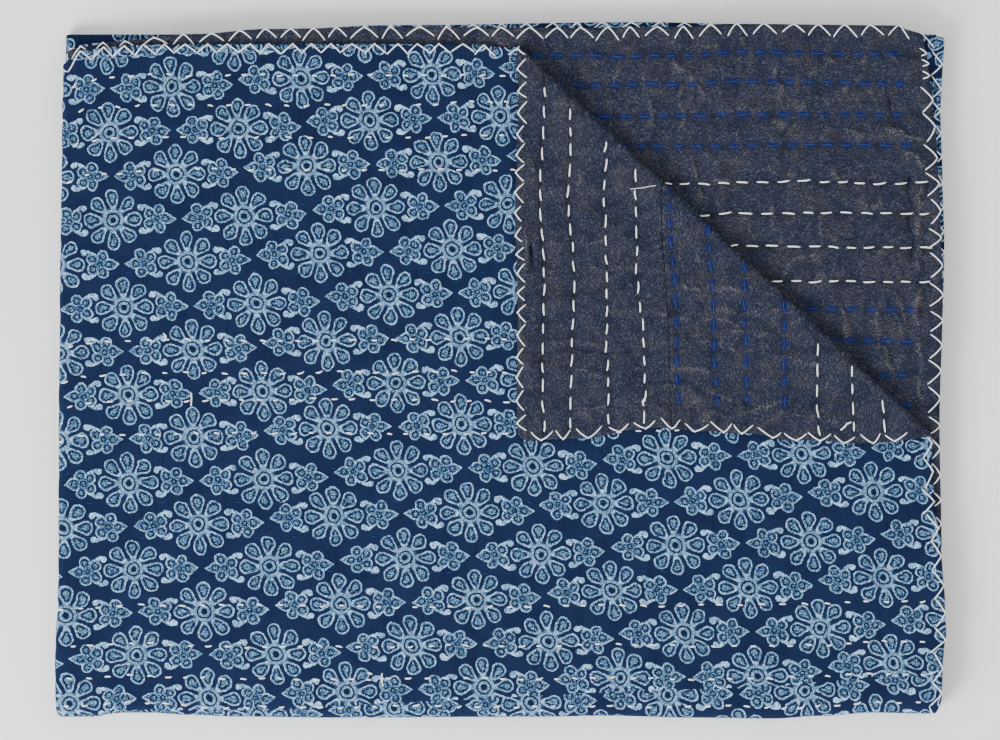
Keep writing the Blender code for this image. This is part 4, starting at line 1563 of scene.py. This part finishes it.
class QUILT_OT_printed_front(bpy.types.Operator):
    """Build the printed front and its print."""

    bl_idname = "quilt.printed_front"
    bl_label = "Printed Front"

    def execute(self, context):
        cloth = context.scene.quilt_cloth
        material = printed_cotton(context.scene.quilt_print)
        piece = cloth_piece(
            "printed_front", crosswise(HALF_WIDTH, cloth.fine_step, FAR_STEP), front_lines(),
            HALF_GAP, HALF_SHEET, front_height, material,
        )
        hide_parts("front_cloth")
        return {"FINISHED"}


class QUILT_OT_backing(bpy.types.Operator):
    """Build the backing's two widths."""

    bl_idname = "quilt.backing"
    bl_label = "Backing"

    def execute(self, context):
        step = context.scene.quilt_cloth.back_step
        colours = context.scene.quilt_print
        across = crosswise(BACK_REACH, step, HIDDEN_STEP)
        seam = STRIP_WIDTH - HALF_GAP
        strip = cloth_piece(
            "backing_end_width", across, strip_lines(), -HALF_GAP, -HALF_SHEET,
            lambda u, v: back_height(u, v, 0.0, seam),
            backing_cotton("backing_cotton_end", colours, 0.6),
        )
        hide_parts("backing_strip")
        after = STRIP_WIDTH + HALF_GAP
        main_width = cloth_piece(
            "backing_main_width", across, backing_lines(), -HALF_GAP, -HALF_SHEET,
            lambda u, v: back_height(u, v, after, QUILT_LENGTH),
            backing_cotton("backing_cotton_main", colours, 1.0),
        )
        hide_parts("backing_cloth")
        QUILT_LENGTH - after
        return {"FINISHED"}


class QUILT_OT_running_stitches(bpy.types.Operator):
    """Sew the white and the blue rows through the quilt, and the backing's seam."""

    bl_idname = "quilt.running_stitches"
    bl_label = "Running Stitches"

    def execute(self, context):
        thread = context.scene.quilt_thread
        white = thread_material("white_thread", thread.white, thread.white_shade, 0.3, 0.4)
        blue = thread_material("blue_thread", thread.blue, thread.blue_shade, 0.1, 0.0)
        thread_piece("white_rows", running_stitches(True), thread.radius, white)
        thread_piece("blue_rows", running_stitches(False), thread.radius * BLUE_SHARE, blue)
        dark = thread_material("seam_thread", thread.seam, thread.seam, 0.1, 0.0)
        thread_piece("seam_stitches", seam_stitches(), thread.radius * DARK_SHARE, dark)
        return {"FINISHED"}


class QUILT_OT_edge_stitches(bpy.types.Operator):
    """Sew the white zigzag over the quilt's edges."""

    bl_idname = "quilt.edge_stitches"
    bl_label = "Edge Stitches"

    def execute(self, context):
        thread = context.scene.quilt_thread
        white = bpy.data.materials["white_thread"]
        thread_piece("edge_zigzag", edge_stitches(), thread.radius * EDGE_SHARE, white)
        return {"FINISHED"}


FLOOR_REACH = 6.0
VIEW_MIDDLE = (-0.0004, 0.0004)
SEEN_HEIGHT = 0.7  # share of the solids' height at which the view has its stated width
LAMPS = (  # (name, which is also the name of its strength, place, size)
    ("key", (-1.75, -1.85, 1.75), 1.5),
    ("fill", (1.6, 1.2, 2.6), 2.2),
)


class QUILT_OT_stage(bpy.types.Operator):
    """Set a pale floor, soft lights and a camera above the quilt."""

    bl_idname = "quilt.stage"
    bl_label = "Stage"

    def execute(self, context):
        stage = context.scene.quilt_stage
        bm = bmesh.new()
        bmesh.ops.create_grid(bm, x_segments=1, y_segments=1, size=FLOOR_REACH)
        mesh = bpy.data.meshes.new("floor")
        bm.to_mesh(mesh)
        bm.free()
        floor = bpy.data.objects.new("floor", mesh)
        paper, surface = plain_material("pale_paper", 0.9, 0.5)
        surface.inputs["Base Color"].default_value = stage.paper
        mesh.materials.append(paper)
        context.scene.collection.objects.link(floor)

        world = bpy.data.worlds.new("studio")
        world.use_nodes = True
        context.scene.world = world
        world.node_tree.nodes["Background"].inputs["Color"].default_value = (1, 1, 1, 1)
        world.node_tree.nodes["Background"].inputs["Strength"].default_value = stage.sky

        for name, place, size in LAMPS:
            light = bpy.data.lights.new(name + "_light", "AREA")
            light.shape = "SQUARE"
            light.size = size
            light.energy = getattr(stage, name)
            lamp = bpy.data.objects.new(name + "_light", light)
            lamp.location = place
            lamp.rotation_euler = (-Vector(place)).to_track_quat("-Z", "Y").to_euler()
            context.scene.collection.objects.link(lamp)

        camera = bpy.data.objects.new("camera", bpy.data.cameras.new("camera"))
        camera.location = (*VIEW_MIDDLE, stage.view_height)
        off = stage.view_height - CAD_BOX[1].z * SEEN_HEIGHT
        camera.data.lens = camera.data.sensor_width * off / stage.view_width
        camera.data.clip_end = 5 * FLOOR_REACH
        context.scene.collection.objects.link(camera)
        context.scene.camera = camera
        return {"FINISHED"}


STEPS = (
    QUILT_OT_stage,
    QUILT_OT_printed_front,
    QUILT_OT_backing,
    QUILT_OT_running_stitches,
    QUILT_OT_edge_stitches,
)


class QUILT_PT_panel(bpy.types.Panel):
    """Lists the quilt's pieces and their settings."""

    bl_idname = "QUILT_PT_panel"
    bl_label = "Kantha Quilt"
    bl_space_type = "VIEW_3D"
    bl_region_type = "UI"
    bl_category = "Quilt"

    def draw(self, context):
        for step in STEPS:
            self.layout.operator(step.bl_idname)
        for name in GROUPS:
            box = self.layout.box()
            group = getattr(context.scene, name)
            for setting in group.__annotations__:
                box.prop(group, setting)


GROUPS = {
    "quilt_cloth": QuiltCloth,
    "quilt_print": QuiltPrint,
    "quilt_thread": QuiltThread,
    "quilt_stage": QuiltStage,
}
CLASSES = (*GROUPS.values(), *STEPS, QUILT_PT_panel)


def register():
    """Make the settings, the operators and the panel known to Blender."""
    for item in CLASSES:
        bpy.utils.register_class(item)
    for name, group in GROUPS.items():
        setattr(bpy.types.Scene, name, bpy.props.PointerProperty(type=group))


def unregister():
    """Take them away again."""
    for name in GROUPS:
        delattr(bpy.types.Scene, name)
    for item in reversed(CLASSES):
        bpy.utils.unregister_class(item)


def main():
    """Build every piece."""
    register()
    bpy.ops.quilt.stage()
    bpy.ops.quilt.printed_front()
    bpy.ops.quilt.backing()
    bpy.ops.quilt.running_stitches()
    bpy.ops.quilt.edge_stitches()


if __name__ == "__main__":
    main()
